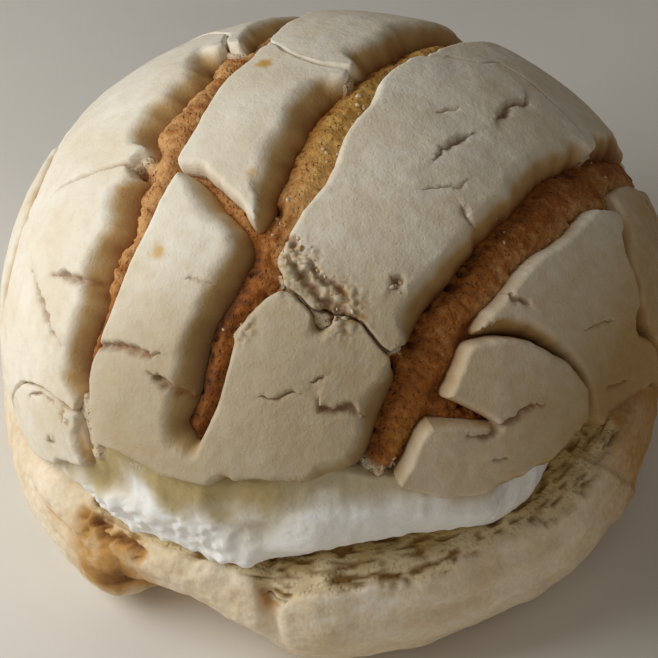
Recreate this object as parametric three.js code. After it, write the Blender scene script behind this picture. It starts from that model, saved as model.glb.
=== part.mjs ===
// A cream-filled concha: a round sweet bun split from the front, with whipped cream in the split and a
// scored shell of sugar paste that broke into plates as the bun rose.
// Millimetres, +Z up. The mouth of the split faces -Y, and the origin is the middle of the flat underside.

import * as THREE from 'three';

// Driving dimensions
const breadRadius = 55;
const breadRise = 46;
const crownTilt = THREE.MathUtils.degToRad(12);
const crownCentre = new THREE.Vector3(2, -1.5, 32);
const pasteThickness = 4;
const pasteEdge = 2.7;
const pasteShoulder = 2.6;
const clearance = 0.35;
const seamHeight = 24.5;
const seamRoll = 4;
const seamGap = 0.4;
const crownCutHeight = 30;
const baseCutHeight = 22.5;
const creamGap = 0.5;
const rimRadius = 55.5;
const baseFlatRadius = 47;

// Uneven places round the base, at a direction in degrees from +X
const rimSwell = { rise: 1.2, at: -118, width: 20 };
const rimDip = { rise: -1.8, at: -45, width: 20 };
const pressedSide = { depth: 12, footDepth: 9, starts: -127.5, full: -122.5, eases: -112, ends: -92 };
const sideWaves = [{ swell: 0.8, turns: 3, start: 40 }, { swell: 0.6, turns: 5, start: -70 }];

// Fineness of the facets
const spokes = 64;
const outlineStep = 3.4;
const shortestEdge = 0.8;
const bankStep = 3;
const lipStepDegrees = 4;
const fillStep = 7.5;
const fillJitter = 0.05;

// The crown is drawn on a flat map: u runs to the right, v to the back, both measured along the crust
// from its pole, and mapRadius is the length of crust for one radian of slope.
const mapRadius = 52;
const xAxis = new THREE.Vector3(1, 0, 0);

const toRadians = THREE.MathUtils.degToRad;

function onCrown(u, v, height) {
  const slope = Math.hypot(u, v) / mapRadius;
  const direction = Math.atan2(v, u);
  const reach = (breadRadius + height) * Math.sin(slope);
  const point = new THREE.Vector3(
    reach * Math.cos(direction),
    reach * Math.sin(direction),
    (breadRise + height) * Math.cos(slope),
  );
  return point.applyAxisAngle(xAxis, -crownTilt).add(crownCentre);
}

// A point at a radius and height, in a direction round the bun
function around(radius, degrees, height) {
  const x = radius * Math.cos(toRadians(degrees));
  const y = radius * Math.sin(toRadians(degrees));
  return new THREE.Vector3(x, y, height);
}

// A smooth curve through [place, value] points in rising order of place
function curveThrough(points, place) {
  const slopeAt = (k) => {
    const before = points[Math.max(k - 1, 0)];
    const after = points[Math.min(k + 1, points.length - 1)];
    return (after[1] - before[1]) / (after[0] - before[0]);
  };
  const found = points.findIndex((point, k) => k > 0 && point[0] >= place);
  const k = found < 0 ? points.length - 1 : found;
  const span = points[k][0] - points[k - 1][0];
  const t = (place - points[k - 1][0]) / span;
  const start = points[k - 1][1] * (1 + 2 * t) * (1 - t) ** 2 + slopeAt(k - 1) * span * t * (1 - t) ** 2;
  const end = points[k][1] * t * t * (3 - 2 * t) - slopeAt(k) * span * t * t * (1 - t);
  return start + end;
}

// A value that changes smoothly round the bun, from [degrees, value] stations in rising order
function roundTheBun(stations, degrees) {
  const turned = (((degrees % 360) + 540) % 360) - 180;
  const turnBefore = stations.slice(-2).map(([angle, value]) => [angle - 360, value]);
  const turnAfter = stations.slice(0, 2).map(([angle, value]) => [angle + 360, value]);
  return curveThrough([...turnBefore, ...stations, ...turnAfter], turned);
}

// A smooth hump of height 1 at one direction round the bun
function hump(degrees, { at, width }) {
  const off = ((degrees - at + 540) % 360) - 180;
  return Math.exp(-((off / width) ** 2));
}

// The seam between the two halves rolls a little to the left
const seamAt = (degrees) => seamHeight + seamRoll * Math.cos(toRadians(degrees));

// How far the crown's lip is lifted off the seam: nothing at the sides and back, most in the mouth
const lipLift = [
  [-158, 0.2], [-150, 3], [-140, 8.5], [-129, 13], [-106, 16.3], [-90, 20.8], [-80, 18.3], [-72, 14.3],
  [-62, 11.2], [-49, 13.5], [-40, 12], [-30, 9], [-20, 3.5], [-12, 0.2], [0, 0], [90, 0], [170, 0],
];

// Length of crust from the crown's pole down to its lip
function lipReach(degrees) {
  const height = seamAt(degrees) + seamGap + roundTheBun(lipLift, degrees) - crownCentre.z;
  const upright = breadRise * Math.cos(crownTilt);
  const sideways = -breadRadius * Math.sin(crownTilt) * Math.sin(toRadians(degrees));
  const slope = Math.atan2(sideways, upright) + Math.acos(height / Math.hypot(upright, sideways));
  return slope * mapRadius;
}

// Points along the lip from one direction to another, a margin above it
function lipArc(fromDegrees, toDegrees, margin) {
  const steps = Math.max(2, Math.round(Math.abs(toDegrees - fromDegrees) / lipStepDegrees));
  return Array.from({ length: steps + 1 }, (_, k) => {
    const degrees = THREE.MathUtils.lerp(fromDegrees, toDegrees, k / steps);
    const reach = lipReach(degrees) - margin;
    return [reach * Math.cos(toRadians(degrees)), reach * Math.sin(toRadians(degrees))];
  });
}

// The scored grooves: half the width of the floor, how much its banks wave, and [v, u] points on its
// middle
const grooves = {
  outer: {
    half: 1.5,
    wave: 0.3,
    middle: [[-27, -97], [-23, -80], [-18, -66], [-9, -55], [4, -48.5], [20, -41], [40, -35], [70, -28]],
  },
  left: {
    half: 2.3,
    wave: 0.4,
    middle: [
      [-68, -59], [-50, -47], [-38, -36], [-24, -27], [-8, -18], [2, -13], [14, -8.5], [30, -2], [74, 8],
    ],
  },
  middle: {
    half: 3,
    wave: 0.4,
    middle: [
      [-70, -29.5], [-57, -21.5], [-46, -14], [-30, -5], [-16, 1.5], [-4, 7], [6, 14], [18, 22], [66, 38],
    ],
  },
  right: {
    half: 4.4,
    wave: 0.4,
    middle: [
      [-82, 5], [-70, 10], [-56, 15.8], [-45, 21.5], [-30, 31.4], [-20, 38.3], [-8, 46], [8, 56], [34, 72],
    ],
  },
};

// The banks wave in two rhythms, in radians for each millimetre along the groove
const shortRhythm = 0.42;
const longRhythm = 0.19;

// Points along one bank of a groove, side -1 for its left bank and +1 for its right bank
function bank(name, side, fromV, toV) {
  const { half, wave, middle } = grooves[name];
  const steps = Math.max(2, Math.round(Math.abs(toV - fromV) / bankStep));
  return Array.from({ length: steps + 1 }, (_, k) => {
    const v = THREE.MathUtils.lerp(fromV, toV, k / steps);
    const lean = curveThrough(middle, v + 0.5) - curveThrough(middle, v - 0.5);
    const ripple = wave * (Math.sin(v * shortRhythm + side * 2) + Math.sin(v * longRhythm + side));
    return [curveThrough(middle, v) + side * (half + ripple) * Math.hypot(1, lean), v];
  });
}

// Outlines of the paste plates: banks of grooves joined by the broken edges across the strips
const plates = [
  {
    name: 'paste_front',
    outline: [
      ...bank('left', 1, -61, -26.5),
      [-21.3, -27], [-20, -29], [-18, -33], [-15, -37.5],
      ...bank('middle', -1, -41, -66),
      [-29, -69.5],
      ...bank('middle', 1, -67, -51.5),
      [-10.8, -48.6], [-8.3, -49], [-6, -52], [-3.5, -54], [-1, -53.5], [2.5, -53], [7, -58],
      ...bank('right', -1, -61, -76),
      [-6, -78], [-16, -76.5], [-27, -76], [-37, -72], [-45, -65.5],
    ],
  },
  {
    name: 'paste_middle_upper',
    outline: [
      ...bank('left', 1, -23, 1),
      [-8, -3.5], [-6, -5.6], [-3, -8],
      ...bank('middle', -1, -9.5, -35),
      [-12.6, -37.4], [-13.7, -34], [-17.3, -29], [-20, -25.5],
    ],
  },
  {
    name: 'paste_middle_top',
    outline: [
      ...bank('left', 1, 3.5, 38),
      [6, 39.8], [14, 37],
      ...bank('middle', -1, 40, -7.5),
      [-2.7, -6.7], [-5.4, -4.4], [-7.3, -1.7],
    ],
  },
  {
    name: 'paste_middle_back',
    outline: [
      ...bank('left', 1, 40.5, 71),
      ...lipArc(82, 65, 1.5),
      ...bank('middle', -1, 60, 42.5),
      [14, 39.3], [6, 42.2],
    ],
  },
  {
    name: 'paste_right_upper',
    outline: [
      ...bank('middle', 1, -43.5, -4.5),
      [16, -2], [21, -1.3], [24.3, 1.5], [27.5, 0], [34, -4.5],
      ...bank('right', -1, -9.5, -55),
      [7.2, -56], [3.2, -52], [0, -51.4], [-3, -49.4], [-5.8, -47.5],
    ],
  },
  {
    name: 'paste_right_top',
    outline: [
      ...bank('middle', 1, -2, 28),
      [37, 29], [47, 31], [54, 25],
      ...bank('right', -1, 20, -7.5),
      [34.6, -2.6], [28, 1.9], [24.6, 3.4], [21, 0.5], [16, -0.2],
    ],
  },
  {
    name: 'paste_right_back',
    outline: [
      ...bank('middle', 1, 30.5, 60),
      ...lipArc(57, 31, 1.5),
      ...bank('right', -1, 33, 22.5),
      [54.6, 27.3], [47.3, 33.4], [37.5, 31.3],
    ],
  },
  {
    name: 'paste_side_lower',
    thickness: 4.8,
    outline: [
      ...bank('right', 1, -77.5, -68.5),
      [17.5, -66.2], [25, -64.6], [18, -63],
      ...bank('right', 1, -60.5, -54.5),
      [26, -52.3], [31.5, -51], [40, -51.4], [45.5, -53], [49.5, -57], [50.3, -60.5],
      [47.5, -65.5], [44.5, -70.5], [38.5, -75.5], [31, -78.5], [23, -79.5],
    ],
  },
  {
    name: 'paste_side_upper',
    thickness: 3.8,
    outline: [
      ...bank('right', 1, -52, -23),
      [46.5, -19.8], [48.5, -21], [50, -25.5], [57, -33.3], [56.7, -36], [63, -35.4],
      ...lipArc(-26, -46, 1),
      [51.5, -55.3], [46.3, -51.7], [40.3, -50], [31.5, -49.5],
    ],
  },
  {
    name: 'paste_side_back',
    thickness: 3,
    outline: [
      ...bank('right', 1, -15, 26),
      ...lipArc(17, -22, 1.5),
      [64, -33.2], [58.6, -32], [51.8, -24.3], [50.3, -19.3],
    ],
  },
  {
    name: 'paste_left_lower',
    outline: [
      ...bank('left', -1, -63, -56.5),
      [-58, -51], [-61, -46.9], [-69, -39.8], [-80, -34],
      ...lipArc(-158, -136, 1.5),
    ],
  },
  {
    name: 'paste_left_middle',
    outline: [
      ...bank('left', -1, -53, -22),
      [-33, -19], [-38, -17.7], [-46, -14.7],
      ...bank('outer', 1, -13.5, -25.5),
      ...lipArc(-162.5, -160.5, 1.5),
      [-80, -32], [-68.3, -38], [-60, -45.3], [-56.9, -49.8],
    ],
  },
  {
    name: 'paste_left_upper',
    outline: [
      [-28.8, -18.2], [-28.5, -13],
      ...bank('left', -1, -9, -3),
      [-17.6, 2], [-17.8, 11], [-24, 22], [-33, 28],
      ...bank('outer', 1, 27, -11.5),
      [-45.5, -13.2], [-38, -16.2], [-33, -17.4],
    ],
  },
  {
    name: 'paste_left_back',
    outline: [
      ...bank('left', -1, 3, 74),
      ...lipArc(87, 105, 1.5),
      ...bank('outer', 1, 68, 30),
      [-32.3, 30], [-22.8, 23.5], [-16.4, 11.5],
    ],
  },
  {
    name: 'paste_edge_front',
    thickness: 3.6,
    outline: [
      ...bank('outer', -1, 8, -24),
      ...lipArc(-167, -204, 1.5),
      [-66, 24], [-56, 16],
    ],
  },
  {
    name: 'paste_edge_back',
    thickness: 3.6,
    outline: [
      ...bank('outer', -1, 66, 10.5),
      [-57, 18.7], [-66.5, 26.5],
      ...lipArc(155, 110, 1.5),
    ],
  },
];

// Flat-map helpers
function signedArea(outline) {
  return outline.reduce((sum, [u, v], k) => {
    const [nextU, nextV] = outline[(k + 1) % outline.length];
    return sum + (u * nextV - nextU * v) / 2;
  }, 0);
}

// The same outline, anticlockwise, with points an even step apart on each straight stretch
function evenOutline(outline) {
  const turned = signedArea(outline) > 0 ? outline : [...outline].reverse();
  const corners = turned.filter(([u, v], k) => {
    const [beforeU, beforeV] = turned[(k + turned.length - 1) % turned.length];
    return Math.hypot(u - beforeU, v - beforeV) > shortestEdge;
  });
  return corners.flatMap(([u, v], k) => {
    const [nextU, nextV] = corners[(k + 1) % corners.length];
    const pieces = Math.max(1, Math.round(Math.hypot(nextU - u, nextV - v) / outlineStep));
    return Array.from({ length: pieces }, (_, i) => [
      THREE.MathUtils.lerp(u, nextU, i / pieces),
      THREE.MathUtils.lerp(v, nextV, i / pieces),
    ]);
  });
}

function isInside(outline, u, v) {
  return outline.reduce((inside, [fromU, fromV], k) => {
    const [toU, toV] = outline[(k + 1) % outline.length];
    const crosses = fromV > v !== toV > v && u < fromU + ((toU - fromU) * (v - fromV)) / (toV - fromV);
    return crosses ? !inside : inside;
  }, false);
}

function distanceToEdge(outline, u, v) {
  return outline.reduce((nearest, [fromU, fromV], k) => {
    const [toU, toV] = outline[(k + 1) % outline.length];
    const lengthSquared = (toU - fromU) ** 2 + (toV - fromV) ** 2;
    const along = ((u - fromU) * (toU - fromU) + (v - fromV) * (toV - fromV)) / lengthSquared;
    const t = THREE.MathUtils.clamp(along, 0, 1);
    const away = Math.hypot(u - fromU - t * (toU - fromU), v - fromV - t * (toV - fromV));
    return Math.min(nearest, away);
  }, Infinity);
}

// Points spread over an outline in staggered rows, clear of its edge
function fillPoints(outline) {
  const us = outline.map((point) => point[0]);
  const vs = outline.map((point) => point[1]);
  const rows = Math.ceil((Math.max(...vs) - Math.min(...vs)) / fillStep);
  const columns = Math.ceil((Math.max(...us) - Math.min(...us)) / fillStep) + 1;
  const found = [];
  for (let row = 0; row <= rows; row += 1) {
    for (let column = 0; column <= columns; column += 1) {
      const stagger = (row % 2) / 2 + fillJitter * Math.sin(7 * row + 3 * column);
      const u = Math.min(...us) + (column - stagger) * fillStep;
      const v = Math.min(...vs) + (row + fillJitter * Math.sin(5 * row + 11 * column)) * fillStep;
      if (isInside(outline, u, v) && distanceToEdge(outline, u, v) > pasteShoulder) {
        found.push([u, v]);
      }
    }
  }
  return found;
}

function circleHolds([a, b, c], point) {
  const [ax, ay, bx, by, cx, cy] = [a, b, c].flatMap(([u, v]) => [u - point[0], v - point[1]]);
  const a2 = ax * ax + ay * ay;
  const b2 = bx * bx + by * by;
  const c2 = cx * cx + cy * cy;
  return ax * (by * c2 - b2 * cy) - ay * (bx * c2 - b2 * cx) + a2 * (bx * cy - by * cx) > 0;
}

// Triangles that join scattered points so that no point lies in another triangle's circle
function joinPoints(points) {
  const far = 4000;
  const all = [...points, [-far, -far], [far, -far], [0, far]];
  const count = points.length;
  let triangles = [[count, count + 1, count + 2]];
  points.forEach((point, added) => {
    const struck = triangles.filter((triangle) => circleHolds(triangle.map((k) => all[k]), point));
    const sides = struck.flatMap(([a, b, c]) => [[a, b], [b, c], [c, a]]);
    const rim = sides.filter(([a, b]) => !sides.some(([from, to]) => from === b && to === a));
    triangles = triangles.filter((triangle) => !struck.includes(triangle));
    triangles.push(...rim.map(([a, b]) => [a, b, added]));
  });
  return triangles.filter((triangle) => Math.max(...triangle) < count);
}

function closedGeometry(vertices, triangles) {
  const geometry = new THREE.BufferGeometry();
  const positions = vertices.flatMap((vertex) => [vertex.x, vertex.y, vertex.z]);
  geometry.setAttribute('position', new THREE.Float32BufferAttribute(positions, 3));
  geometry.setIndex(triangles.flat());
  geometry.computeVertexNormals();
  return geometry;
}

// One broken plate of paste, lying just clear of the crown's bread
function plateGeometry({ outline, thickness = pasteThickness }) {
  const edge = evenOutline(outline);
  const points = [...edge, ...fillPoints(edge)];
  const count = points.length;
  const faces = joinPoints(points).filter((triangle) => {
    const u = triangle.reduce((sum, k) => sum + points[k][0] / 3, 0);
    const v = triangle.reduce((sum, k) => sum + points[k][1] / 3, 0);
    return isInside(edge, u, v);
  });
  const edgeHeight = (pasteEdge * thickness) / pasteThickness;
  const upper = points.map(([u, v], k) => onCrown(u, v, k < edge.length ? edgeHeight : thickness));
  const lower = points.map(([u, v]) => onCrown(u, v, clearance));
  const walls = edge.flatMap((_, k) => {
    const next = (k + 1) % edge.length;
    return [[count + k, count + next, next], [count + k, next, k]];
  });
  const underside = faces.map(([a, b, c]) => [count + a, count + c, count + b]);
  return closedGeometry([...upper, ...lower], [...faces, ...underside, ...walls]);
}

// A closed body from rings of points, from the middle of its top, down its side, to the middle of its foot
function ringedGeometry(top, rings, foot) {
  const vertices = [top, ...rings.flat(), foot];
  const footIndex = vertices.length - 1;
  const at = (ring, spoke) => 1 + ring * spokes + (spoke % spokes);
  const triangles = [];
  for (let spoke = 0; spoke < spokes; spoke += 1) {
    triangles.push([0, at(0, spoke), at(0, spoke + 1)]);
    for (let ring = 0; ring + 1 < rings.length; ring += 1) {
      triangles.push([at(ring, spoke), at(ring + 1, spoke), at(ring + 1, spoke + 1)]);
      triangles.push([at(ring, spoke), at(ring + 1, spoke + 1), at(ring, spoke + 1)]);
    }
    triangles.push([at(rings.length - 1, spoke), footIndex, at(rings.length - 1, spoke + 1)]);
  }
  return closedGeometry(vertices, triangles);
}

function ring(pointAt) {
  return Array.from({ length: spokes }, (_, k) => pointAt((360 * k) / spokes - 180));
}

// The split faces, which dish towards the middle of the bun; share 1 is at the outer edge
function crownCut(degrees, share) {
  const reach = lipReach(degrees);
  const lip = onCrown(reach * Math.cos(toRadians(degrees)), reach * Math.sin(toRadians(degrees)), 0);
  const height = THREE.MathUtils.lerp(crownCutHeight, lip.z, share ** 2);
  return new THREE.Vector3(lip.x * share, lip.y * share, height);
}

function rimHeight(degrees) {
  const uneven = [rimSwell, rimDip].reduce((sum, place) => sum + place.rise * hump(degrees, place), 0);
  return seamAt(degrees) - seamGap + uneven;
}

function baseCut(degrees, share) {
  const height = THREE.MathUtils.lerp(baseCutHeight, rimHeight(degrees), share ** 2);
  return around(rimRadius * share, degrees, height);
}

// Upper half of the bun: rings of crust from the pole to the lip, then the split face under it
const crustShares = [0.1, 0.21, 0.32, 0.43, 0.54, 0.64, 0.73, 0.81, 0.88, 0.94, 1];
const crownCutShares = [0.93, 0.75, 0.5, 0.25];

function crownGeometry() {
  const crust = crustShares.map((share) =>
    ring((degrees) => {
      const reach = lipReach(degrees) * share;
      return onCrown(reach * Math.cos(toRadians(degrees)), reach * Math.sin(toRadians(degrees)), 0);
    }),
  );
  const underside = crownCutShares.map((share) => ring((degrees) => crownCut(degrees, share)));
  const middle = new THREE.Vector3(0, 0, crownCutHeight);
  return ringedGeometry(onCrown(0, 0, 0), [...crust, ...underside], middle);
}

// Lower half of the bun: a full side that turns under, pressed in low at the front left. The rows of
// the side are [share of the rim's height, radius]
const baseCutShares = [0.3, 0.58, 0.8, 0.93, 1];
const sideRows = [[0.86, 57.2], [0.62, 58.4], [0.42, 58.2], [0.24, 56.4], [0.1, 53]];
const footShares = [1, 0.6];
const pressedBelow = 0.3;
const pressedUpTo = 0.8;

// How much of the press is felt in one direction: sharp at its left end, easing out to the right
function pressedAt(degrees) {
  const { starts, full, eases, ends } = pressedSide;
  const { smoothstep } = THREE.MathUtils;
  return smoothstep(degrees, starts, full) * (1 - smoothstep(degrees, eases, ends));
}

function baseSide(degrees, share, radius) {
  const low = 1 - THREE.MathUtils.smoothstep(share, pressedBelow, pressedUpTo);
  const pressed = pressedSide.depth * pressedAt(degrees) * low;
  const uneven = sideWaves.reduce(
    (sum, { swell, turns, start }) => sum + swell * Math.sin(toRadians(turns * degrees + start)),
    0,
  );
  return around(radius - pressed + uneven * Math.sin(Math.PI * share), degrees, rimHeight(degrees) * share);
}

function baseFoot(degrees, share) {
  const radius = baseFlatRadius - pressedSide.footDepth * pressedAt(degrees);
  return around(radius * share, degrees, 0);
}

function baseGeometry() {
  const cut = baseCutShares.map((share) => ring((degrees) => baseCut(degrees, share)));
  const side = sideRows.map(([share, radius]) => ring((degrees) => baseSide(degrees, share, radius)));
  const foot = footShares.map((share) => ring((degrees) => baseFoot(degrees, share)));
  const middle = new THREE.Vector3(0, 0, baseCutHeight);
  return ringedGeometry(middle, [...cut, ...side, ...foot], new THREE.Vector3(0, 0, 0));
}

// Whipped cream: a wedge that fills the split, thick in the mouth and thin towards the back. The
// stations say how far it reaches along each split face and how far it swells between them
const creamTopStations = [
  [-150, 0.86], [-125, 0.93], [-90, 0.96], [-60, 0.95], [-40, 0.88], [0, 0.84], [150, 0.84],
];
const creamFootStations = [
  [-150, 0.9], [-130, 0.985], [-100, 0.985], [-75, 0.94], [-50, 0.92], [-35, 0.85], [0, 0.84], [150, 0.84],
];
const creamSwellStations = [
  [-150, 0], [-128, 2.6], [-108, 2.2], [-96, 3.4], [-80, 2], [-55, 1], [-40, 0], [0, 0], [150, 0],
];
const creamShares = [0.3, 0.6, 0.84, 1];
const creamDrops = [0.3, 0.62, 0.85];

function creamGeometry() {
  const topAt = (degrees, share) => {
    const point = crownCut(degrees, share);
    point.z -= creamGap;
    return point;
  };
  const footAt = (degrees, share) => {
    const point = baseCut(degrees, share);
    point.z += creamGap;
    return point;
  };
  const topShare = (degrees) => roundTheBun(creamTopStations, degrees);
  const footShare = (degrees) => roundTheBun(creamFootStations, degrees);
  const upper = creamShares.map((part) => ring((degrees) => topAt(degrees, part * topShare(degrees))));
  const face = creamDrops.map((drop) =>
    ring((degrees) => {
      const from = topAt(degrees, topShare(degrees));
      const to = footAt(degrees, footShare(degrees));
      const swell = roundTheBun(creamSwellStations, degrees) * Math.sin(Math.PI * drop ** 1.5);
      return from.lerp(to, drop).add(around(swell, degrees, 0));
    }),
  );
  const lower = creamShares
    .toReversed()
    .map((part) => ring((degrees) => footAt(degrees, part * footShare(degrees))));
  const topMiddle = new THREE.Vector3(0, 0, crownCutHeight - creamGap);
  const footMiddle = new THREE.Vector3(0, 0, baseCutHeight + creamGap);
  return ringedGeometry(topMiddle, [...upper, ...face, ...lower], footMiddle);
}

// Materials
const breadMaterial = new THREE.MeshStandardMaterial({ color: 0xb5702f, roughness: 0.85, metalness: 0 });
const baseMaterial = new THREE.MeshStandardMaterial({ color: 0xd9bd8c, roughness: 0.9, metalness: 0 });
const creamMaterial = new THREE.MeshStandardMaterial({ color: 0xf6f3e6, roughness: 0.6, metalness: 0 });
const pasteMaterial = new THREE.MeshStandardMaterial({ color: 0xe8dcc0, roughness: 0.9, metalness: 0 });

function namedMesh(name, geometry, material) {
  const mesh = new THREE.Mesh(geometry, material);
  mesh.name = name;
  return mesh;
}

// The whole bun
const concha = new THREE.Group();
concha.add(namedMesh('bread_base', baseGeometry(), baseMaterial));
concha.add(namedMesh('cream_filling', creamGeometry(), creamMaterial));
concha.add(namedMesh('bread_crown', crownGeometry(), breadMaterial));
for (const plate of plates) {
  concha.add(namedMesh(plate.name, plateGeometry(plate), pasteMaterial));
}

export default concha;
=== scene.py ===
# %% [markdown]
# # A cream-filled concha
# A concha is a round sweet bun. A sheet of sugar paste is laid on the dough and scored in stripes. In the
# oven the dough swells and pulls the stripes apart into thick plates with brown grooves between them.
# This bun is also split at the front and filled with whipped cream. The packed solids give every piece its
# place, and each step below makes one kind of piece again, with the fine shape and finish of real baking.
# Shapes are worked out in millimetres, and only the finished meshes are in metres.

# %% Load the solids
import math

import bmesh
import bpy
import numpy as np
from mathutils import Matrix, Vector
from mathutils.bvhtree import BVHTree
from mathutils.geometry import delaunay_2d_cdt
from mathutils.kdtree import KDTree


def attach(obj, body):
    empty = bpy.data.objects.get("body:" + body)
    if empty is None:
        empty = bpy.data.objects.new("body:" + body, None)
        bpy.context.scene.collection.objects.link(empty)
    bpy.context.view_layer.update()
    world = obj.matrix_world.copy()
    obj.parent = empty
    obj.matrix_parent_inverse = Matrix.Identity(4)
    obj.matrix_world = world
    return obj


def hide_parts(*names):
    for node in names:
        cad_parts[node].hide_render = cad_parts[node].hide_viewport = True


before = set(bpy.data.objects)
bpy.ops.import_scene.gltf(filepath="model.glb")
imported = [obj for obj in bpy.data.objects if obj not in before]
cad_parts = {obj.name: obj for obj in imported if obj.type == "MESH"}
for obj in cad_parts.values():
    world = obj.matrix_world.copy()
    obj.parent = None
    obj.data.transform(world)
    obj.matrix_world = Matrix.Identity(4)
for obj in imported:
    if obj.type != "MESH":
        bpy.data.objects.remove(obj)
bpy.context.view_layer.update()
MM = 0.001

# %% [markdown]
# ## The camera
# The camera stands in front of the mouth and looks down at about 42 degrees. It could be placed by eye, but
# three plain numbers (height angle, distance, lens) are easier to change one at a time. The small shift
# moves the picture without turning the camera, so upright things stay upright.

# %% Camera
camera_tilt = math.radians(42)
camera_distance = 340 * MM
aim = Vector((0, 0, 30 * MM))
towards_camera = Vector((0, -math.cos(camera_tilt), math.sin(camera_tilt)))

camera_data = bpy.data.cameras.new("camera")
camera_data.lens = 105.6
camera_data.sensor_width = 36
camera_data.shift_x = 0.003
camera_data.shift_y = -0.029
camera = bpy.data.objects.new("camera", camera_data)
camera.location = aim + camera_distance * towards_camera
camera.rotation_euler = (-towards_camera).to_track_quat("-Z", "Y").to_euler()
bpy.context.scene.collection.objects.link(camera)
bpy.context.scene.camera = camera
print("camera at", [round(c, 3) for c in camera.location])

# %% [markdown]
# ## Light
# One large soft light from the upper left, like a window, shapes the plates: their left edges are bright and
# their right edges fall into shade. A weaker warm light from the front and a dim warm sky keep the shade
# readable. Area lights are used because a lamp with a size gives soft shadow edges, as a window does.

# %% Lights
def add_light(name, direction, distance, size, power, colour):
    light = bpy.data.lights.new(name, "AREA")
    light.size = size
    light.energy = power
    light.color = colour
    lamp = bpy.data.objects.new(name, light)
    out = Vector(direction).normalized()
    lamp.location = aim + distance * out
    lamp.rotation_euler = out.to_track_quat("Z", "Y").to_euler()
    lamp.visible_camera = False
    bpy.context.scene.collection.objects.link(lamp)
    print(name, "at", [round(c, 2) for c in lamp.location], power, "W")


add_light("window_light", direction=(-0.83, -0.15, 0.58), distance=0.32, size=0.22, power=0.76,
          colour=(1.0, 0.99, 0.96))
add_light("fill_light", direction=(0.0, -0.95, 0.35), distance=0.80, size=0.5, power=0.54,
          colour=(1.0, 0.91, 0.77))

sky = bpy.data.worlds.new("sky")
sky.use_nodes = True
sky.node_tree.nodes["Background"].inputs["Color"].default_value = (1.0, 0.91, 0.78, 1)
sky.node_tree.nodes["Background"].inputs["Strength"].default_value = 0.15
bpy.context.scene.world = sky
bpy.context.scene.view_settings.view_transform = "Standard"

# %% [markdown]
# ## Shader building blocks
# Baked surfaces share a few effects: soft patches of colour, small pores, and toasting from pale to golden
# to brown. Each effect is a node group with named sockets, made once and placed in every material that
# needs it. The helpers below keep node code short: they add a node, wire sockets and make an empty group.
# Colours are easier to pick as they look on a screen, so the last helper turns those into linear light.

# %% Node helpers
def add_node(tree, kind, **settings):
    node = tree.nodes.new(kind)
    for setting, value in settings.items():
        setattr(node, setting, value)
    return node


def wire(tree, *pairs):
    for output, socket in pairs:
        tree.links.new(output, socket)


def new_group(name, inputs, outputs):
    group = bpy.data.node_groups.new(name, "ShaderNodeTree")
    for label, kind, value in inputs:
        socket = group.interface.new_socket(label, in_out="INPUT", socket_type=kind)
        socket.default_value = value
    for label, kind in outputs:
        group.interface.new_socket(label, in_out="OUTPUT", socket_type=kind)
    return group, add_node(group, "NodeGroupInput"), add_node(group, "NodeGroupOutput")


def srgb(red, green, blue):
    parts = [c / 255 for c in (red, green, blue)]
    parts = [c / 12.92 if c < 0.04045 else ((c + 0.055) / 1.055) ** 2.4 for c in parts]
    return (*parts, 1)


print("white in linear light:", srgb(255, 255, 255))

# %% [markdown]
# ## Patches and pores
# Paste, crust and cream are never one even colour. The group "soft patches" gives a mask of cloudy patches
# of a chosen size in millimetres. The group "pores" gives small round holes from a Voronoi texture, whose
# distance to the nearest cell centre is low inside a hole. Object coordinates are in metres, so a size in
# millimetres is turned into a texture scale by dividing 1000 by it.

# %% Soft patches and pores
def mask_group(name, texture_kind, texture_output, size, low, high):
    values = [("Size mm", size), ("Low", low), ("High", high)]
    group, inside, outside = new_group(name, [(label, "NodeSocketFloat", value) for label, value in values],
                                       [("Mask", "NodeSocketFloat")])
    texture = add_node(group, texture_kind)
    place = add_node(group, "ShaderNodeTexCoord")
    scale = add_node(group, "ShaderNodeMath", operation="DIVIDE")
    scale.inputs[0].default_value = 1 / MM
    ramp = add_node(group, "ShaderNodeMapRange", interpolation_type="SMOOTHSTEP")
    wire(group,
         (inside.outputs["Size mm"], scale.inputs[1]),
         (scale.outputs[0], texture.inputs["Scale"]),
         (place.outputs["Object"], texture.inputs["Vector"]),
         (texture.outputs[texture_output], ramp.inputs["Value"]),
         (inside.outputs["Low"], ramp.inputs["From Min"]),
         (inside.outputs["High"], ramp.inputs["From Max"]),
         (ramp.outputs["Result"], outside.inputs["Mask"]))
    return group, texture, ramp


soft_patches, cloud, _ = mask_group("soft patches", "ShaderNodeTexNoise", "Fac", 8, 0.35, 0.65)
cloud.inputs["Detail"].default_value = 4
pores, _, hole_ramp = mask_group("pores", "ShaderNodeTexVoronoi", "Distance", 2, 0.12, 0.3)
hole_ramp.inputs["To Min"].default_value = 1
hole_ramp.inputs["To Max"].default_value = 0
print("groups:", [group.name for group in bpy.data.node_groups])

# %% [markdown]
# ## Toasting
# Dough and paste go from pale to golden to brown as they bake. The group "toasting" takes three colours and
# a value from 0 to 1 and mixes them in that order. Two Mix nodes in a row are enough: the first runs over
# the lower half of the value and the second over the upper half.

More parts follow.
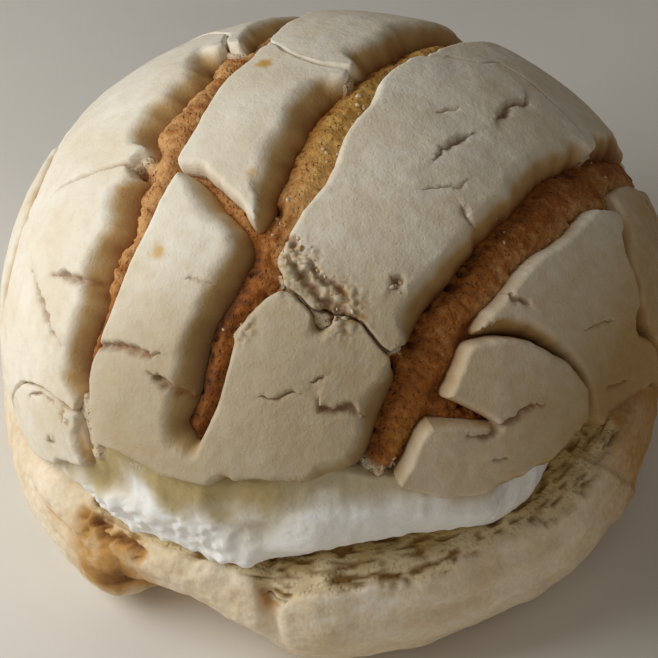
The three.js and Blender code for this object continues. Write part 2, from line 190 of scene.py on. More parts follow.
# %% Toasting group
toasting, inside, outside = new_group(
    "toasting",
    [("Pale", "NodeSocketColor", (1, 1, 1, 1)), ("Golden", "NodeSocketColor", (1, 0.6, 0.2, 1)),
     ("Brown", "NodeSocketColor", (0.2, 0.08, 0.02, 1)), ("Toast", "NodeSocketFloat", 0)],
    [("Color", "NodeSocketColor")])
first_half = add_node(toasting, "ShaderNodeMapRange")
first_half.inputs["From Max"].default_value = 0.5
second_half = add_node(toasting, "ShaderNodeMapRange")
second_half.inputs["From Min"].default_value = 0.5
to_golden = add_node(toasting, "ShaderNodeMix", data_type="RGBA")
to_brown = add_node(toasting, "ShaderNodeMix", data_type="RGBA")
wire(toasting,
     (inside.outputs["Toast"], first_half.inputs["Value"]),
     (inside.outputs["Toast"], second_half.inputs["Value"]),
     (first_half.outputs["Result"], to_golden.inputs["Factor"]),
     (second_half.outputs["Result"], to_brown.inputs["Factor"]),
     (inside.outputs["Pale"], to_golden.inputs["A"]),
     (inside.outputs["Golden"], to_golden.inputs["B"]),
     (to_golden.outputs["Result"], to_brown.inputs["A"]),
     (inside.outputs["Brown"], to_brown.inputs["B"]),
     (to_brown.outputs["Result"], outside.inputs["Color"]))
print("toasting mixes", len(toasting.nodes), "nodes")

# %% [markdown]
# ## A material writer
# Every material here is one Principled shader that is fed by groups, by noise, and by marks stored on the
# mesh points (an Attribute node reads a mark by its name). The small class below wraps one material and
# keeps the wiring readable: mark() reads a mark, group() places a group, mix() blends colours, calc() does
# sums, and bump() adds fine relief.

# %% Material writer
class Finish:
    def __init__(self, name, roughness, specular=0.5):
        self.material = bpy.data.materials.new(name)
        self.material.use_nodes = True
        self.tree = self.material.node_tree
        self.shader = self.tree.nodes["Principled BSDF"]
        self.shader.inputs["Roughness"].default_value = roughness
        self.shader.inputs["Specular IOR Level"].default_value = specular
        self.last_bump = None

    def feed(self, value, socket):
        if isinstance(value, bpy.types.NodeSocket):
            self.tree.links.new(value, socket)
        else:
            socket.default_value = value

    def mark(self, name):
        return add_node(self.tree, "ShaderNodeAttribute", attribute_name=name).outputs["Fac"]

    def group(self, group, output, **values):
        node = add_node(self.tree, "ShaderNodeGroup", node_tree=group)
        for label, value in values.items():
            self.feed(value, node.inputs[label.replace("_", " ")])
        return node.outputs[output]

    def mix(self, amount, first, second):
        node = add_node(self.tree, "ShaderNodeMix", data_type="RGBA")
        self.feed(amount, node.inputs["Factor"])
        self.feed(first, node.inputs["A"])
        self.feed(second, node.inputs["B"])
        return node.outputs["Result"]

    def calc(self, operation, first, second, clamp=False):
        node = add_node(self.tree, "ShaderNodeMath", operation=operation, use_clamp=clamp)
        self.feed(first, node.inputs[0])
        self.feed(second, node.inputs[1])
        return node.outputs[0]

    def bump(self, height, depth):
        node = add_node(self.tree, "ShaderNodeBump")
        node.inputs["Distance"].default_value = depth * MM
        self.feed(height, node.inputs["Height"])
        if self.last_bump:
            self.tree.links.new(self.last_bump, node.inputs["Normal"])
        self.last_bump = node.outputs["Normal"]
        self.tree.links.new(self.last_bump, self.shader.inputs["Normal"])

    def colour(self, value):
        self.feed(value, self.shader.inputs["Base Color"])


print("finish calls:", [call for call in vars(Finish) if not call.startswith("_")])

# %% [markdown]
# ## The floor
# A plain pale board under the bun catches its soft shadow. It is not part of the bun. A faint cloudy colour
# keeps it from looking like an empty picture.

# %% Floor
floor_finish = Finish("pale_floor", 0.8)
floor_cloud = floor_finish.group(soft_patches, "Mask", Size_mm=60.0, Low=0.2, High=0.8)
floor_finish.colour(floor_finish.mix(floor_cloud, srgb(228, 225, 219), srgb(236, 233, 228)))
floor_half = 2.0
corners = [(x * floor_half, y * floor_half, 0) for x, y in ((-1, -1), (1, -1), (1, 1), (-1, 1))]
floor_mesh = bpy.data.meshes.new("floor")
floor_mesh.from_pydata(corners, [], [(0, 1, 2, 3)])
floor_mesh.materials.append(floor_finish.material)
floor = bpy.data.objects.new("floor", floor_mesh)
bpy.context.scene.collection.objects.link(floor)
print("floor half width", floor_half, "m")

# %% [markdown]
# ## Random hills
# Baking makes bumps of every size. A lattice of steady random values, blended smoothly between its points,
# gives hills of a chosen size. Blender's own noise works on one point at a time; this one works on whole
# arrays, so a hundred thousand points take a blink. It has no hidden state, so every run gives the same bun.

# %% Random hills
axis_factors = np.array([73856093, 19349663, 83492791])
seed_factor = 60493
mixing_factor = 0x45D9F3B
low_32_bits = 0xFFFFFFFF
low_16_bits = 0xFFFF


def lattice(cells, seed):
    scramble = cells.astype(np.int64) @ axis_factors + seed * seed_factor
    for _ in range(2):
        scramble &= low_32_bits
        scramble = ((scramble >> 16) ^ scramble) * mixing_factor
    scramble &= low_32_bits
    return (((scramble >> 16) ^ scramble) & low_16_bits) / (low_16_bits / 2) - 1


def hills(points, size, seed=0):
    places = np.asarray(points, float) / size
    if places.shape[1] == 2:
        places = np.column_stack([places, np.full(len(places), 0.5)])
    cell = np.floor(places)
    part = places - cell
    part = part ** 3 * (part * (part * 6 - 15) + 10)
    total = np.zeros(len(places))
    for corner in np.ndindex(2, 2, 2):
        weight = np.prod(np.where(corner, part, 1 - part), axis=1)
        total += weight * lattice(cell + corner, seed)
    return total


tryout = hills(np.random.default_rng(1).uniform(0, 50, (2000, 2)), 3.0)
print("hills run from", round(tryout.min(), 2), "to", round(tryout.max(), 2))

# %% [markdown]
# ## Ramps, bands, bells and patches
# Relief and colour both fade in and out over some millimetres or degrees. Four small functions do all of it:
# a smooth ramp (which falls when its two ends are swapped), a band that comes and goes, a bell around one
# value, and a round patch on a flat map. Written once, they keep the sums below readable.

# %% Ramps
def smooth_step(low, high, value):
    part = np.clip((np.asarray(value, float) - low) / (high - low), 0, 1)
    return part * part * (3 - 2 * part)


def band(value, start, full, fade, end):
    return smooth_step(start, full, value) * smooth_step(end, fade, value)


def bell(value, centre, width):
    return np.exp(-((value - centre) / width) ** 2)


def patch(points, place, full, end):
    return 1 - smooth_step(full, end, np.hypot(*(points - np.array(place)).T))


print("a band on its way in, full and gone:", [float(band(value, 0, 10, 20, 30)) for value in (5, 15, 30)])

# %% [markdown]
# ## The crown's map
# The crown is a dome, and everything on it is easier to draw on a flat map. A point of the map (u, v) is a
# direction from the top of the dome and a way down its slope, and a height lifts it off the bread. One
# function goes from map to space, the other finds map and height of a point in space by a few Newton steps.
# On this map u grows to the right and v to the back, so the mouth lies near v = -80.

# %% Map and back
bread_radius = 55.0
bread_rise = 46.0
map_radius = 52.0
crown_tilt = math.radians(12)
crown_centre = np.array([2.0, -1.5, 32.0])
newton_steps = 12


def crown_place(uv, height):
    slope = np.hypot(uv[:, 0], uv[:, 1]) / map_radius
    direction = np.arctan2(uv[:, 1], uv[:, 0])
    reach = (bread_radius + height) * np.sin(slope)
    y = reach * np.sin(direction)
    z = (bread_rise + height) * np.cos(slope)
    turned = np.column_stack([reach * np.cos(direction),
                              y * math.cos(crown_tilt) + z * math.sin(crown_tilt),
                              z * math.cos(crown_tilt) - y * math.sin(crown_tilt)])
    return turned + crown_centre


def crown_map(places):
    off = places - crown_centre
    y = off[:, 1] * math.cos(crown_tilt) - off[:, 2] * math.sin(crown_tilt)
    z = off[:, 1] * math.sin(crown_tilt) + off[:, 2] * math.cos(crown_tilt)
    reach = np.hypot(off[:, 0], y)
    height = np.zeros(len(places))
    for _ in range(newton_steps):
        wide, tall = bread_radius + height, bread_rise + height
        miss = (reach / wide) ** 2 + (z / tall) ** 2 - 1
        height += miss / (2 * reach ** 2 / wide ** 3 + 2 * z ** 2 / tall ** 3)
    slope = np.arctan2(reach / (bread_radius + height), z / (bread_rise + height))
    direction = np.arctan2(y, off[:, 0])
    uv = map_radius * slope[:, None] * np.column_stack([np.cos(direction), np.sin(direction)])
    return uv, height


there = crown_place(np.array([[20.0, -30.0]]), np.array([3.0]))
print("there and back:", [part.round(3).tolist() for part in crown_map(there)])

# %% [markdown]
# ## Reading a solid
# The packed solids are triangles in metres. For tracing, a solid is read as millimetres with doubled
# points merged. The rim of a set of triangles is found by a simple rule: an edge that only one triangle
# uses lies on the rim, and following such edges from point to point gives the loop.

# %% Solids as arrays
def solid(node):
    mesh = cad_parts[node].data
    mesh.calc_loop_triangles()
    places = np.empty(len(mesh.vertices) * 3, np.float32)
    mesh.vertices.foreach_get("co", places)
    corners = np.empty(len(mesh.loop_triangles) * 3, np.int32)
    mesh.loop_triangles.foreach_get("vertices", corners)
    merged, index = np.unique((places.reshape(-1, 3) / MM).round(2), axis=0, return_inverse=True)
    return merged.astype(float), index.reshape(-1)[corners].reshape(-1, 3)


def rim_of(triangles):
    sides = {side for a, b, c in triangles.tolist() for side in ((a, b), (b, c), (c, a))}
    after = {start: end for start, end in sides if (end, start) not in sides}
    loop = [min(after)]
    while after[loop[-1]] != loop[0]:
        loop.append(after[loop[-1]])
    return loop


print("front plate:", [len(part) for part in solid("paste_front")], "points and triangles")

# %% [markdown]
# ## Loops
# A plate starts as a flat outline on the map. The outline is walked in even steps, turned so that its inside
# lies on the left, and blurred along its length. Blurring a closed loop is easy with a Fourier transform,
# which treats the end of the list as the neighbour of its start.

# %% Loops
fewest_steps = 12


def even_loop(points, step):
    closed = np.vstack([points, points[:1]])
    along = np.r_[0, np.cumsum(np.hypot(*np.diff(closed, axis=0).T))]
    places = np.linspace(0, along[-1], max(fewest_steps, int(along[-1] / step)), endpoint=False)
    return np.column_stack([np.interp(places, along, side) for side in closed.T])


def turned_left(loop):
    ahead = np.roll(loop, -1, axis=0)
    area = np.sum(loop[:, 0] * ahead[:, 1] - loop[:, 1] * ahead[:, 0])
    return loop[::-1] if area < 0 else loop


def blur_loop(values, width):
    keep = np.exp(-2 * (np.pi * width * np.fft.fftfreq(len(values))) ** 2)
    keep = keep.reshape(-1, *[1] * (values.ndim - 1))
    return np.fft.ifft(np.fft.fft(values, axis=0) * keep, axis=0).real


def outward(loop):
    ahead = np.roll(loop, -1, axis=0) - np.roll(loop, 1, axis=0)
    return np.column_stack([ahead[:, 1], -ahead[:, 0]]) / np.hypot(*ahead.T)[:, None]


square = np.array([[0, 0], [9, 0], [9, 9], [0, 9]], float)
print("a square of 9 mm walked in", len(even_loop(square, 1)), "steps")

# %% [markdown]
# ## Fillings
# The outline is filled with a honeycomb of points, and Blender's constrained Delaunay function joins them to
# triangles without crossing the outline. That keeps edges exact, which a plain grid or a remesh would not.
# A KD tree finds the nearest point of an edge or a crack, and that distance steers most of the shapes.

# %% Points inside a loop
row_share = 0.866


def honeycomb(low, high, step):
    rows = np.arange(low[1], high[1], step * row_share)
    columns = np.arange(low[0], high[0], step)
    u, v = np.meshgrid(columns, rows)
    return np.column_stack([(u + (np.arange(len(rows)) % 2)[:, None] * step / 2).ravel(), v.ravel()])


def lies_inside(loop, points):
    odd = np.zeros(len(points), bool)
    near = np.flatnonzero(((points > loop.min(0)) & (points < loop.max(0))).all(axis=1))
    u, v = points[near].T
    for (u0, v0), (u1, v1) in zip(loop, np.roll(loop, -1, axis=0)):
        if v0 != v1:
            odd[near] ^= ((v0 > v) != (v1 > v)) & (u < (u1 - u0) * (v - v0) / (v1 - v0) + u0)
    return odd


print("points inside the square:", lies_inside(square, honeycomb((-5, -5), (14, 14), 1)).sum())

# %% Distances and triangles
def nearest(points, targets):
    tree = KDTree(len(targets))
    for number, (u, v) in enumerate(targets):
        tree.insert((u, v, 0), number)
    tree.balance()
    found = [tree.find((u, v, 0)) for u, v in points]
    return np.array([number for _, number, _ in found], int), np.array([gap for _, _, gap in found])


def gap_to(points, targets):
    return nearest(points, targets)[1]


def join(loop, filling):
    ring = [(number, (number + 1) % len(loop)) for number in range(len(loop))]
    flat = [Vector(point) for point in np.vstack([loop, filling])]
    places, _, faces, _, _, _ = delaunay_2d_cdt(flat, ring, [], 1, 1e-5)
    return np.array([tuple(place) for place in places]), np.array(faces)


print("the same square:", len(join(even_loop(square, 1), honeycomb((1, 1), (8, 8), 1))[1]), "triangles")

# %% [markdown]
# ## Pieces
# Every finished piece is one mesh object that rides on the bun's body, hides the solids of the packed model
# that it replaces, and takes its finish. One function does all of that, and stores the marks on the points.

# %% Piece maker
piece_names = []


def make_piece(name, places, faces, finish, slot, nodes=(), marks=None):
    mesh = bpy.data.meshes.new(name)
    mesh.from_pydata((places * MM).tolist(), [], faces.tolist())
    mesh.polygons.foreach_set("use_smooth", np.ones(len(mesh.polygons), bool))
    for mark, values in (marks or {}).items():
        layer = mesh.attributes.new(mark, "FLOAT", "POINT")
        layer.data.foreach_set("value", np.asarray(values, np.float32))
    mesh.materials.append(finish.material)
    piece = bpy.data.objects.new(name, mesh)
    bpy.context.scene.collection.objects.link(piece)
    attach(piece, "root")
    if nodes:
        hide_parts(*nodes)
    piece_names.append(name)
    print(name, len(mesh.polygons), "triangles")


print("pieces made so far:", len(piece_names))

# %% [markdown]
# ## Paste finish
# Baked sugar paste is a dull, dry cream colour with cloudy warmth, tiny pores and a sandy grain. It toasts
# towards its foot, where it thins out over the bread, and is brown inside its cracks. Shade is painted into
# its colour too: the toast mark also darkens the edges that face away from the window, the front and the
# right side. Another mark paints the low front and low right near the mouth greyer and darker, and the pores
# are painted a little darker. These marks and the marks for spots and cracks come from the mesh, so the
# colour follows the real edges and needs no painting by hand.

# %% Paste finish
paste = Finish("sugar_paste", 0.85, specular=0.25)
warm_cloud = paste.group(soft_patches, "Mask", Size_mm=11.0, Low=0.35, High=0.68)
small_cloud = paste.group(soft_patches, "Mask", Size_mm=2.2, Low=0.3, High=0.75)
paste_pale = paste.mix(warm_cloud, srgb(239, 233, 219), srgb(231, 221, 200))
paste_pale = paste.mix(paste.calc("MULTIPLY", small_cloud, 0.2), paste_pale, srgb(219, 205, 177))
paste_noise = paste.calc("MULTIPLY", paste.calc("SUBTRACT", small_cloud, 0.5), 0.08)
# The toast mark carries toasting, and on the plates also painted shade.
paste_toast_and_shade = paste.calc("ADD", paste.mark("toast"), paste_noise, True)
paste_baked = paste.group(toasting, "Color", Pale=paste_pale, Golden=srgb(190, 156, 104),
                          Brown=srgb(136, 84, 40), Toast=paste_toast_and_shade)
# Painted shade: the low front and low right near the mouth are mixed towards a darker, greyer paste.
paste_soaked = paste.mix(paste.mark("soaked"), paste_baked, srgb(160, 141, 103))
paste_spotted = paste.mix(paste.mark("spot"), paste_soaked, srgb(208, 158, 60))
paste_cracked = paste.mix(paste.mark("crack"), paste_spotted, srgb(132, 85, 42))
paste_pores = paste.group(pores, "Mask", Size_mm=1.3, Low=0.05, High=0.16)
# Painted shade: the pores are mixed a little towards a darker tan.
paste.colour(paste.mix(paste.calc("MULTIPLY", paste_pores, 0.12), paste_cracked, srgb(176, 146, 98)))
paste.bump(paste.group(soft_patches, "Mask", Size_mm=0.9, Low=0.1, High=0.9), 0.06)
paste.bump(paste.group(soft_patches, "Mask", Size_mm=0.4, Low=0.2, High=0.8), 0.025)
paste.bump(paste.calc("SUBTRACT", 1.0, paste_pores), 0.04)
print("paste finish:", len(paste.tree.nodes), "nodes")

# %% [markdown]
# ## Cracks and spots in the paste
# The paste split where the dough swelled most. Each crack is a half width, a depth and a line of places on
# the map, all in millimetres. Drawing them as lines and carving the mesh along them is closer to real
# breaking than a noise texture, because a crack runs on from one edge of a plate to another. A spot is a
# place, a size and a strength: a bit of sugar that went brown.

# %% Cracks and spots
cracks = {
    "paste_left_middle": [
        (0.55, 2.2, [(-49.5, -30.6), (-46.8, -32.2), (-44.6, -34.2), (-42.8, -35.7), (-39.3, -38.4),
                     (-37, -40)]),
        (0.5, 1.3, [(-54.6, -25.5), (-54.3, -30), (-53.7, -33.5), (-53.3, -36.4), (-52.5, -39.3),
                    (-51.3, -42.8)])],
    "paste_left_lower": [
        (0.35, 1.0, [(-66.9, -42.9), (-61.9, -46.1), (-59.1, -49.8), (-58, -53)]),
        (0.7, 1.4, [(-68, -52.5), (-67.2, -53.3), (-66.2, -53.6)])],
    "paste_front": [
        (0.5, 1.7, [(-44, -46.8), (-41.7, -47.7), (-36.7, -50.1), (-33.9, -51.7), (-31.9, -53.3),
                    (-29.9, -53.1)]),
        (0.6, 1.9, [(-33.1, -54.9), (-31.6, -56.6), (-30.1, -58.7), (-27.9, -60.7), (-26.5, -61.8)]),
        (0.14, 0.5, [(-24, -43), (-21, -44.4), (-19, -45.3)]),
        (0.18, 0.7, [(-14, -63), (-11.1, -63.8), (-8.5, -62.7), (-6.8, -63.3)]),
        (0.2, 0.7, [(-5.1, -61.5), (-2.6, -60.6)]),
        (0.5, 1.5, [(-3.8, -64.2), (-3.2, -65.8), (-1, -66.1), (1.6, -65.5), (3, -66.7), (4.5, -66.9)])],
    "paste_right_upper": [
        (0.42, 1.4, [(22.5, -15.2), (24.1, -12.4), (24.7, -10.2), (27.8, -7.7), (28, -5.6)]),
        (0.3, 1.1, [(12.9, -26.6), (14.1, -24.8), (16.3, -22.8), (17.8, -21), (18.8, -19.4)]),
        (0.14, 0.5, [(13.7, -17.1), (17.1, -14.8)]),
        (0.14, 0.5, [(11.3, -32), (14.2, -31.1), (17.2, -30.7), (18.1, -28.7)]),
        (0.22, 0.8, [(17.6, -33.1), (18.5, -35.2), (20.2, -36.2)]),
        (0.6, 1.9, [(-7.6, -42.8), (-6.1, -45.5), (-3.3, -49.2), (-0.9, -50.8), (1.6, -52), (3.4, -53.5)]),
        (0.4, 1.4, [(-4.6, -43.4), (-3.2, -45.8), (-0.6, -47.6), (1.4, -49.8)]),
        (0.4, 1.4, [(-9, -39), (-6.6, -40.6), (-6.9, -42.4)]),
        (0.7, 1.2, [(7.8, -47.4), (8.6, -46.6), (9.4, -47)])],
    "paste_side_upper": [
        (0.4, 1.2, [(26, -45), (27.4, -45.1), (29.3, -45.3), (30.5, -45.4)]),
        (0.14, 0.5, [(41.7, -45.1), (48.9, -39.5)]),
        (0.16, 0.5, [(51.1, -51.5), (57.7, -45.5)])],
    "paste_side_lower": [
        (0.4, 1.3, [(22.8, -67.8), (27, -67.3), (29.3, -64.9), (31.6, -63), (33, -61.2), (36.7, -59)]),
        (0.18, 0.6, [(28.8, -70.7), (32.7, -69.3)])],
    "paste_middle_back": [(0.4, 1.3, [(5, 53), (10, 56), (14, 55), (19, 58), (23, 57)])],
    "paste_left_back": [
        (0.4, 1.3, [(-33, 44), (-28, 46), (-24, 44.5), (-19, 48), (-15, 47)]),
        (0.25, 0.9, [(3, 62), (-3, 61), (-6, 64), (-11, 64)])],
    "paste_right_back": [
        (0.35, 1.1, [(35, 47), (40, 45), (44, 47), (49, 45.5)]),
        (0.2, 0.7, [(63, 30), (58, 33), (56, 38)])],
    "paste_side_back": [
        (0.35, 1.1, [(57, -3), (62, -4), (66, -1), (71, -2)]),
        (0.25, 0.8, [(84, -10), (79, -9), (76, -13)])],
    "paste_edge_back": [(0.4, 1.2, [(-44, 52), (-49, 48), (-54, 48), (-58, 44)])],
    "paste_edge_front": [(0.35, 1.1, [(-72, 22), (-77, 19), (-81, 21), (-86, 18)])],
    "paste_right_top": [(0.3, 0.9, [(34, 19), (38, 17), (43, 18.5), (47, 16)])],
}
spots = {"paste_middle_upper": [(-10.7, -5.9, 1.6, 0.9), (-12.5, -28.8, 1.3, 0.5)],
         "paste_front": [(-27.9, -37.7, 1.9, 0.7)]}
for label, table in (("cracks", cracks), ("spots", spots)):
    print(label, sum(len(entries) for entries in table.values()), "on", len(table), "plates")

# %% [markdown]
# ## Carving a crack
# A crack's line is too straight when it is drawn by a few points. It is walked in small steps and pushed to
# both sides by random hills, which gives its teeth. The carving then only needs the distance from each mesh
# point to that jagged line. One side of the crack also stands a little higher, as broken plates do, and the
# inside is tinted by the mark "crack".

# %% Jagged lines
walk_step = 0.15


def jagged(line, seed):
    line = np.array(line, float)
    along = np.r_[0, np.cumsum(np.hypot(*np.diff(line, axis=0).T))]
    steps = np.arange(0, along[-1], walk_step)
    walk = np.column_stack([np.interp(steps, along, side) for side in line.T])
    walk += 0.4 * np.column_stack([hills(walk, 1.1, seed), hills(walk, 1.1, seed + 1)])
    walk += 0.2 * np.column_stack([hills(walk, 0.45, seed + 2), hills(walk, 0.45, seed + 3)])
    return walk, steps / along[-1]


def crack_rows(lines, seed):
    rows = [np.empty((0, 2))]
    for number, (half_width, _, line) in enumerate(lines):
        walk, _ = jagged(line, seed + 10 * number)
        across = outward(walk)
        rows += [walk[1:-1:2] + across[1:-1:2] * side * half_width for side in (-1.2, -0.5, 0, 0.5, 1.2)]
    return np.vstack(rows)


print("first crack walks in", len(jagged(cracks["paste_left_middle"][0][2], 0)[0]), "steps")

# %% Carving
crack_reach = 4


def carve(points, lines, seed):
    depth_total = np.zeros(len(points))
    open_share = np.zeros(len(points))
    for number, (half_width, depth, line) in enumerate(lines):
        walk, share = jagged(line, seed + 10 * number)
        low, high = walk.min(0) - crack_reach, walk.max(0) + crack_reach
        close = np.flatnonzero(((points > low) & (points < high)).all(axis=1))
        index, gap = nearest(points[close], walk)
        taper = np.clip(np.minimum(share, 1 - share)[index] * 5, 0.35, 1)
        width = half_width * taper * (1 + 0.7 * hills(points[close], 1.3, seed + 5))
        carved = 1 - smooth_step(0.2, 1.7, gap / np.maximum(width, 0.05))
        ahead = np.gradient(walk, axis=0)[index]
        off = points[close] - walk[index]
        side = np.sign(ahead[:, 0] * off[:, 1] - ahead[:, 1] * off[:, 0])
        step_up = 0.22 * (half_width / 0.5) * side * np.exp(-gap / 1.5)
        broken = 0.3 * half_width * np.exp(-gap / 0.8) * hills(points[close], 0.55, seed + 7)
        depth_total[close] += 0.8 * depth * taper * carved - step_up * (1 - carved) - broken
        uneven = 0.8 + 0.4 * hills(points[close], 0.7, seed + 6)
        tint = 0.8 * carved * np.clip(depth / 1.2, 0.35, 1) * uneven
        tint = np.maximum(tint, 0.2 * np.exp(-gap / 0.7) * (half_width > 0.35))
        open_share[close] = np.clip(np.maximum(open_share[close], tint), 0, 1)
    return depth_total, open_share


tryout = np.array([[-44.6, -34.2], [-30.0, -34.2]])
print("carved on a crack and away from it:", carve(tryout, cracks["paste_left_middle"], 0)[0].round(2))

# %% [markdown]
# ## Special places in the paste
# Sugar paste is brittle, and it shrinks a little. Some corners broke to crumbs, some edges drew back from a
# groove, one plate has a deep notch and one ends in a drawn-out tip. All of it could be sculpted by hand, but
# short lists of places on the map are easier to tune, and they give the same bun on every run. A crumbly
# place has a size. An edge is held back by the last number of its entry, near the place and on the plates
# whose name has the given word. No word stands for all plates, and a negative number lets the edge spread.
# A notch has a mouth, a tip and half its width, and a tip has the size of what is drawn to it.

# %% Special places
crumbly_places = [(-7, -45, 6), (0, -51, 6), (-16, -52, 4), (-24, -14, 4), (-57, -53, 3), (58, -57, 3.5),
                  (64, -50, 3), (50, -67, 3), (38, -76, 3), (-9, -79, 3), (-24, -77, 2.5)]
held_back = [("", -67, -60, 8, 1.5), ("", 41, -75, 9, 1.3), ("", -4.5, -47.5, 6.5, -0.9),
             ("left_middle", -34, -25, 8, 2.4), ("left_middle", -39, -35, 8, 2.4),
             ("left_middle", -45, -46, 8, 1.6), ("middle_upper", -2, -16, 8, 1.3),
             ("middle_upper", -7, -28, 8, 1.5), ("left_upper", -21, -13, 8, 2.4),
             ("left_upper", -18, -4, 9, 2.4), ("left_upper", -15, 5, 7, 1.2)]
notches = {"paste_side_lower": ((16.0, -66.6), (28.8, -65.2), 3.0)}
tips = {"paste_front": ((-23.4, -23.8), 8.0)}


def crumbliness(points):
    amount = np.zeros(len(points))
    for u, v, size in crumbly_places:
        amount = np.maximum(amount, patch(points, (u, v), 0.4 * size, size))
    return amount


print("crumbly places:", len(crumbly_places), "edges held back:", len(held_back))

# %% [markdown]
# ## Room for an edge
# An edge can only spread where there is room. In a narrow inlet of the outline the opposite edge is close, so
# the room ahead of every point is measured along its outward direction. A notch is cut by dropping the
# points of the outline inside a wedge and putting the wedge's tip in their place.

# %% Room and notches
outline_step = 0.4
most_room = 6.0


def room_ahead(loop):
    room = np.full(len(loop), most_room)
    for number, (place, ahead) in enumerate(zip(loop, outward(loop))):
        off = loop - place
        gap = np.hypot(*off.T)
        facing_us = (off @ ahead > 0.5 * gap) & (gap > 0.05)
        if facing_us.any():
            room[number] = min(most_room, gap[facing_us].min())
    return room


def cut_notch(loop, mouth, tip, half_width):
    axis = np.subtract(tip, mouth)
    length = np.hypot(*axis)
    axis = axis / length
    share = (loop - mouth) @ axis / length
    side = np.abs((loop - mouth) @ np.array([-axis[1], axis[0]]))
    kept = (share < 0) | (share > 1.05) | (side > half_width * (1 - share) + 0.8)
    first = np.flatnonzero(kept & ~np.roll(kept, -1))[0] + 1
    outside = np.roll(loop, -first, axis=0)[np.roll(kept, -first)]
    return even_loop(np.vstack([outside, [tip]]), outline_step)


print("room in the square:", room_ahead(even_loop(square, 1)).min(), "mm")

# %% [markdown]
# ## Plate outlines
# A plate's outline is traced from the foot of its solid. The paste spreads a little at its foot, most at the
# sides that face a groove and at the mouth. Random hills of two sizes make the edge ragged, more so where it
# crumbles. The direction shade_side points away from the window, across the grooves.

# %% Plate outlines
shade_side = np.array([0.90, -0.43])
foot_spread, groove_spread, mouth_spread = 0.45, 0.45, 0.9


def traced_foot(node):
    places, triangles = solid(node)
    uv, height = crown_map(places)
    under = triangles[(height[triangles] < 1.0).all(axis=1)]
    loop = even_loop(turned_left(uv[rim_of(under)]), outline_step)
    return blur_loop(loop, 1.3), height.max()


def edge_spread(node, loop, room):
    facing = blur_loop(outward(loop) @ shade_side, 2)
    ahead = blur_loop(outward(loop), 2)
    spread = foot_spread + groove_spread * smooth_step(0.3, 0.8, np.abs(facing))
    spread += mouth_spread * smooth_step(-58, -64, loop[:, 1]) * smooth_step(0.2, 0.6, -ahead[:, 1])
    spread = blur_loop(np.minimum(spread, 0.028 * room ** 2), 2)
    for part, u, v, size, amount in held_back:
        if part in node:
            spread -= amount * patch(loop, (u, v), 0.4 * size, size)
    return spread


print("the front plate's foot is traced by", len(traced_foot("paste_front")[0]), "points")

# %% Ragged outlines
seed_step = 100


def paste_outline(node, seed):
    loop, thickness = traced_foot(node)
    room = room_ahead(loop)
    broken = crumbliness(loop)
    rough = (0.2 + 0.5 * broken) * hills(loop, 2.3, seed) + (0.1 + 0.3 * broken) * hills(loop, 0.8, seed + 1)
    spread = edge_spread(node, loop, room) + np.minimum(rough, 0.02 * room ** 2)
    loop = loop + outward(loop) * spread[:, None]
    if node in notches:
        loop = cut_notch(loop, *notches[node])
    if node in tips:
        tip, size = tips[node]
        loop = loop + (np.array(tip) - loop) * patch(loop, tip, 0, size)[:, None]
    return even_loop(loop, outline_step), thickness


plate_nodes = sorted(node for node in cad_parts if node.startswith("paste_"))
plate_loops = {node: paste_outline(node, seed_step * number) for number, node in enumerate(plate_nodes)}
print("plates:", len(plate_loops), "thickest:", round(max(top for _, top in plate_loops.values()), 1), "mm")

# %% [markdown]
# ## Closed seams
# Some plates broke apart but still touch, and only a hair-thin seam shows. The solids leave more room there,
# so two neighbours are drawn together until seam_gap is left. The number of a pair is the widest gap that
# still counts as its seam. Above widest_drawn the seam keeps its width and is only filled with crumbs later.
# The middle line of every seam is kept, because edges are crisp along it.

# %% Closed seams
closed_pairs = [("paste_left_upper", "paste_left_middle", 3.2),
                ("paste_left_middle", "paste_left_lower", 3.2),
                ("paste_left_lower", "paste_front", 5.8),
                ("paste_middle_upper", "paste_middle_top", 3.2),
                ("paste_right_upper", "paste_right_top", 3.2),
                ("paste_left_back", "paste_left_upper", 3.2),
                ("paste_right_upper", "paste_front", 2.6)]
seam_gap = 0.16
widest_drawn = 5.0


def draw_near(loop, other, widest):
    index, gap = nearest(loop, other)
    share = 0.5 * np.clip(1 - seam_gap / gap, 0, 1) * (1 - smooth_step(0.7 * widest, widest, gap))
    return even_loop(loop + (other[index] - loop) * share[:, None], outline_step)


seam_lines = []
for first, second, widest in closed_pairs:
    first_loop, first_top = plate_loops[first]
    second_loop, second_top = plate_loops[second]
    if widest < widest_drawn:
        plate_loops[first] = (draw_near(first_loop, second_loop, widest), first_top)
        plate_loops[second] = (draw_near(second_loop, first_loop, widest), second_top)
    index, gap = nearest(first_loop, second_loop)
    seam_lines.append(((first_loop + second_loop[index]) / 2)[gap < widest])
    print("seam of", first, "and", second, "has", len(seam_lines[-1]), "points")
closed_seam = np.vstack(seam_lines)

# %% [markdown]
# ## Filling a plate
# The mesh has to be fine where something happens: rings of points follow the edge, rows of points follow the
# cracks, and a honeycomb fills the rest, finer where the paste is crumbly. One even fine grid would need many
# times the points. The underside is coarse, shares the outline's points and closes the plate.

# %% Plate filling
ring_insets = (0.12, 0.32, 0.6, 0.95, 1.4)
plain_step = 0.5
crumbled_step = 0.28
coarse_step = 3.0


def plate_filling(loop, lines, seed):
    rings = np.vstack([loop - outward(loop) * inset for inset in ring_insets])
    rings = rings[lies_inside(loop, rings) & (gap_to(rings, loop) > 0.1)]
    plain, crumbled = (honeycomb(loop.min(0), loop.max(0), step) for step in (plain_step, crumbled_step))
    filling = np.vstack([plain[crumbliness(plain) <= 0.02], crumbled[crumbliness(crumbled) > 0.02]])
    filling = filling[lies_inside(loop, filling) & (gap_to(filling, loop) > 1.6)]
    rows = crack_rows(lines, seed)
    rows = rows[lies_inside(loop, rows) & (gap_to(rows, loop) > 0.15)]
    if len(rows):
        filling = filling[gap_to(filling, rows) > 0.25]
    return np.vstack([rings, filling, rows])


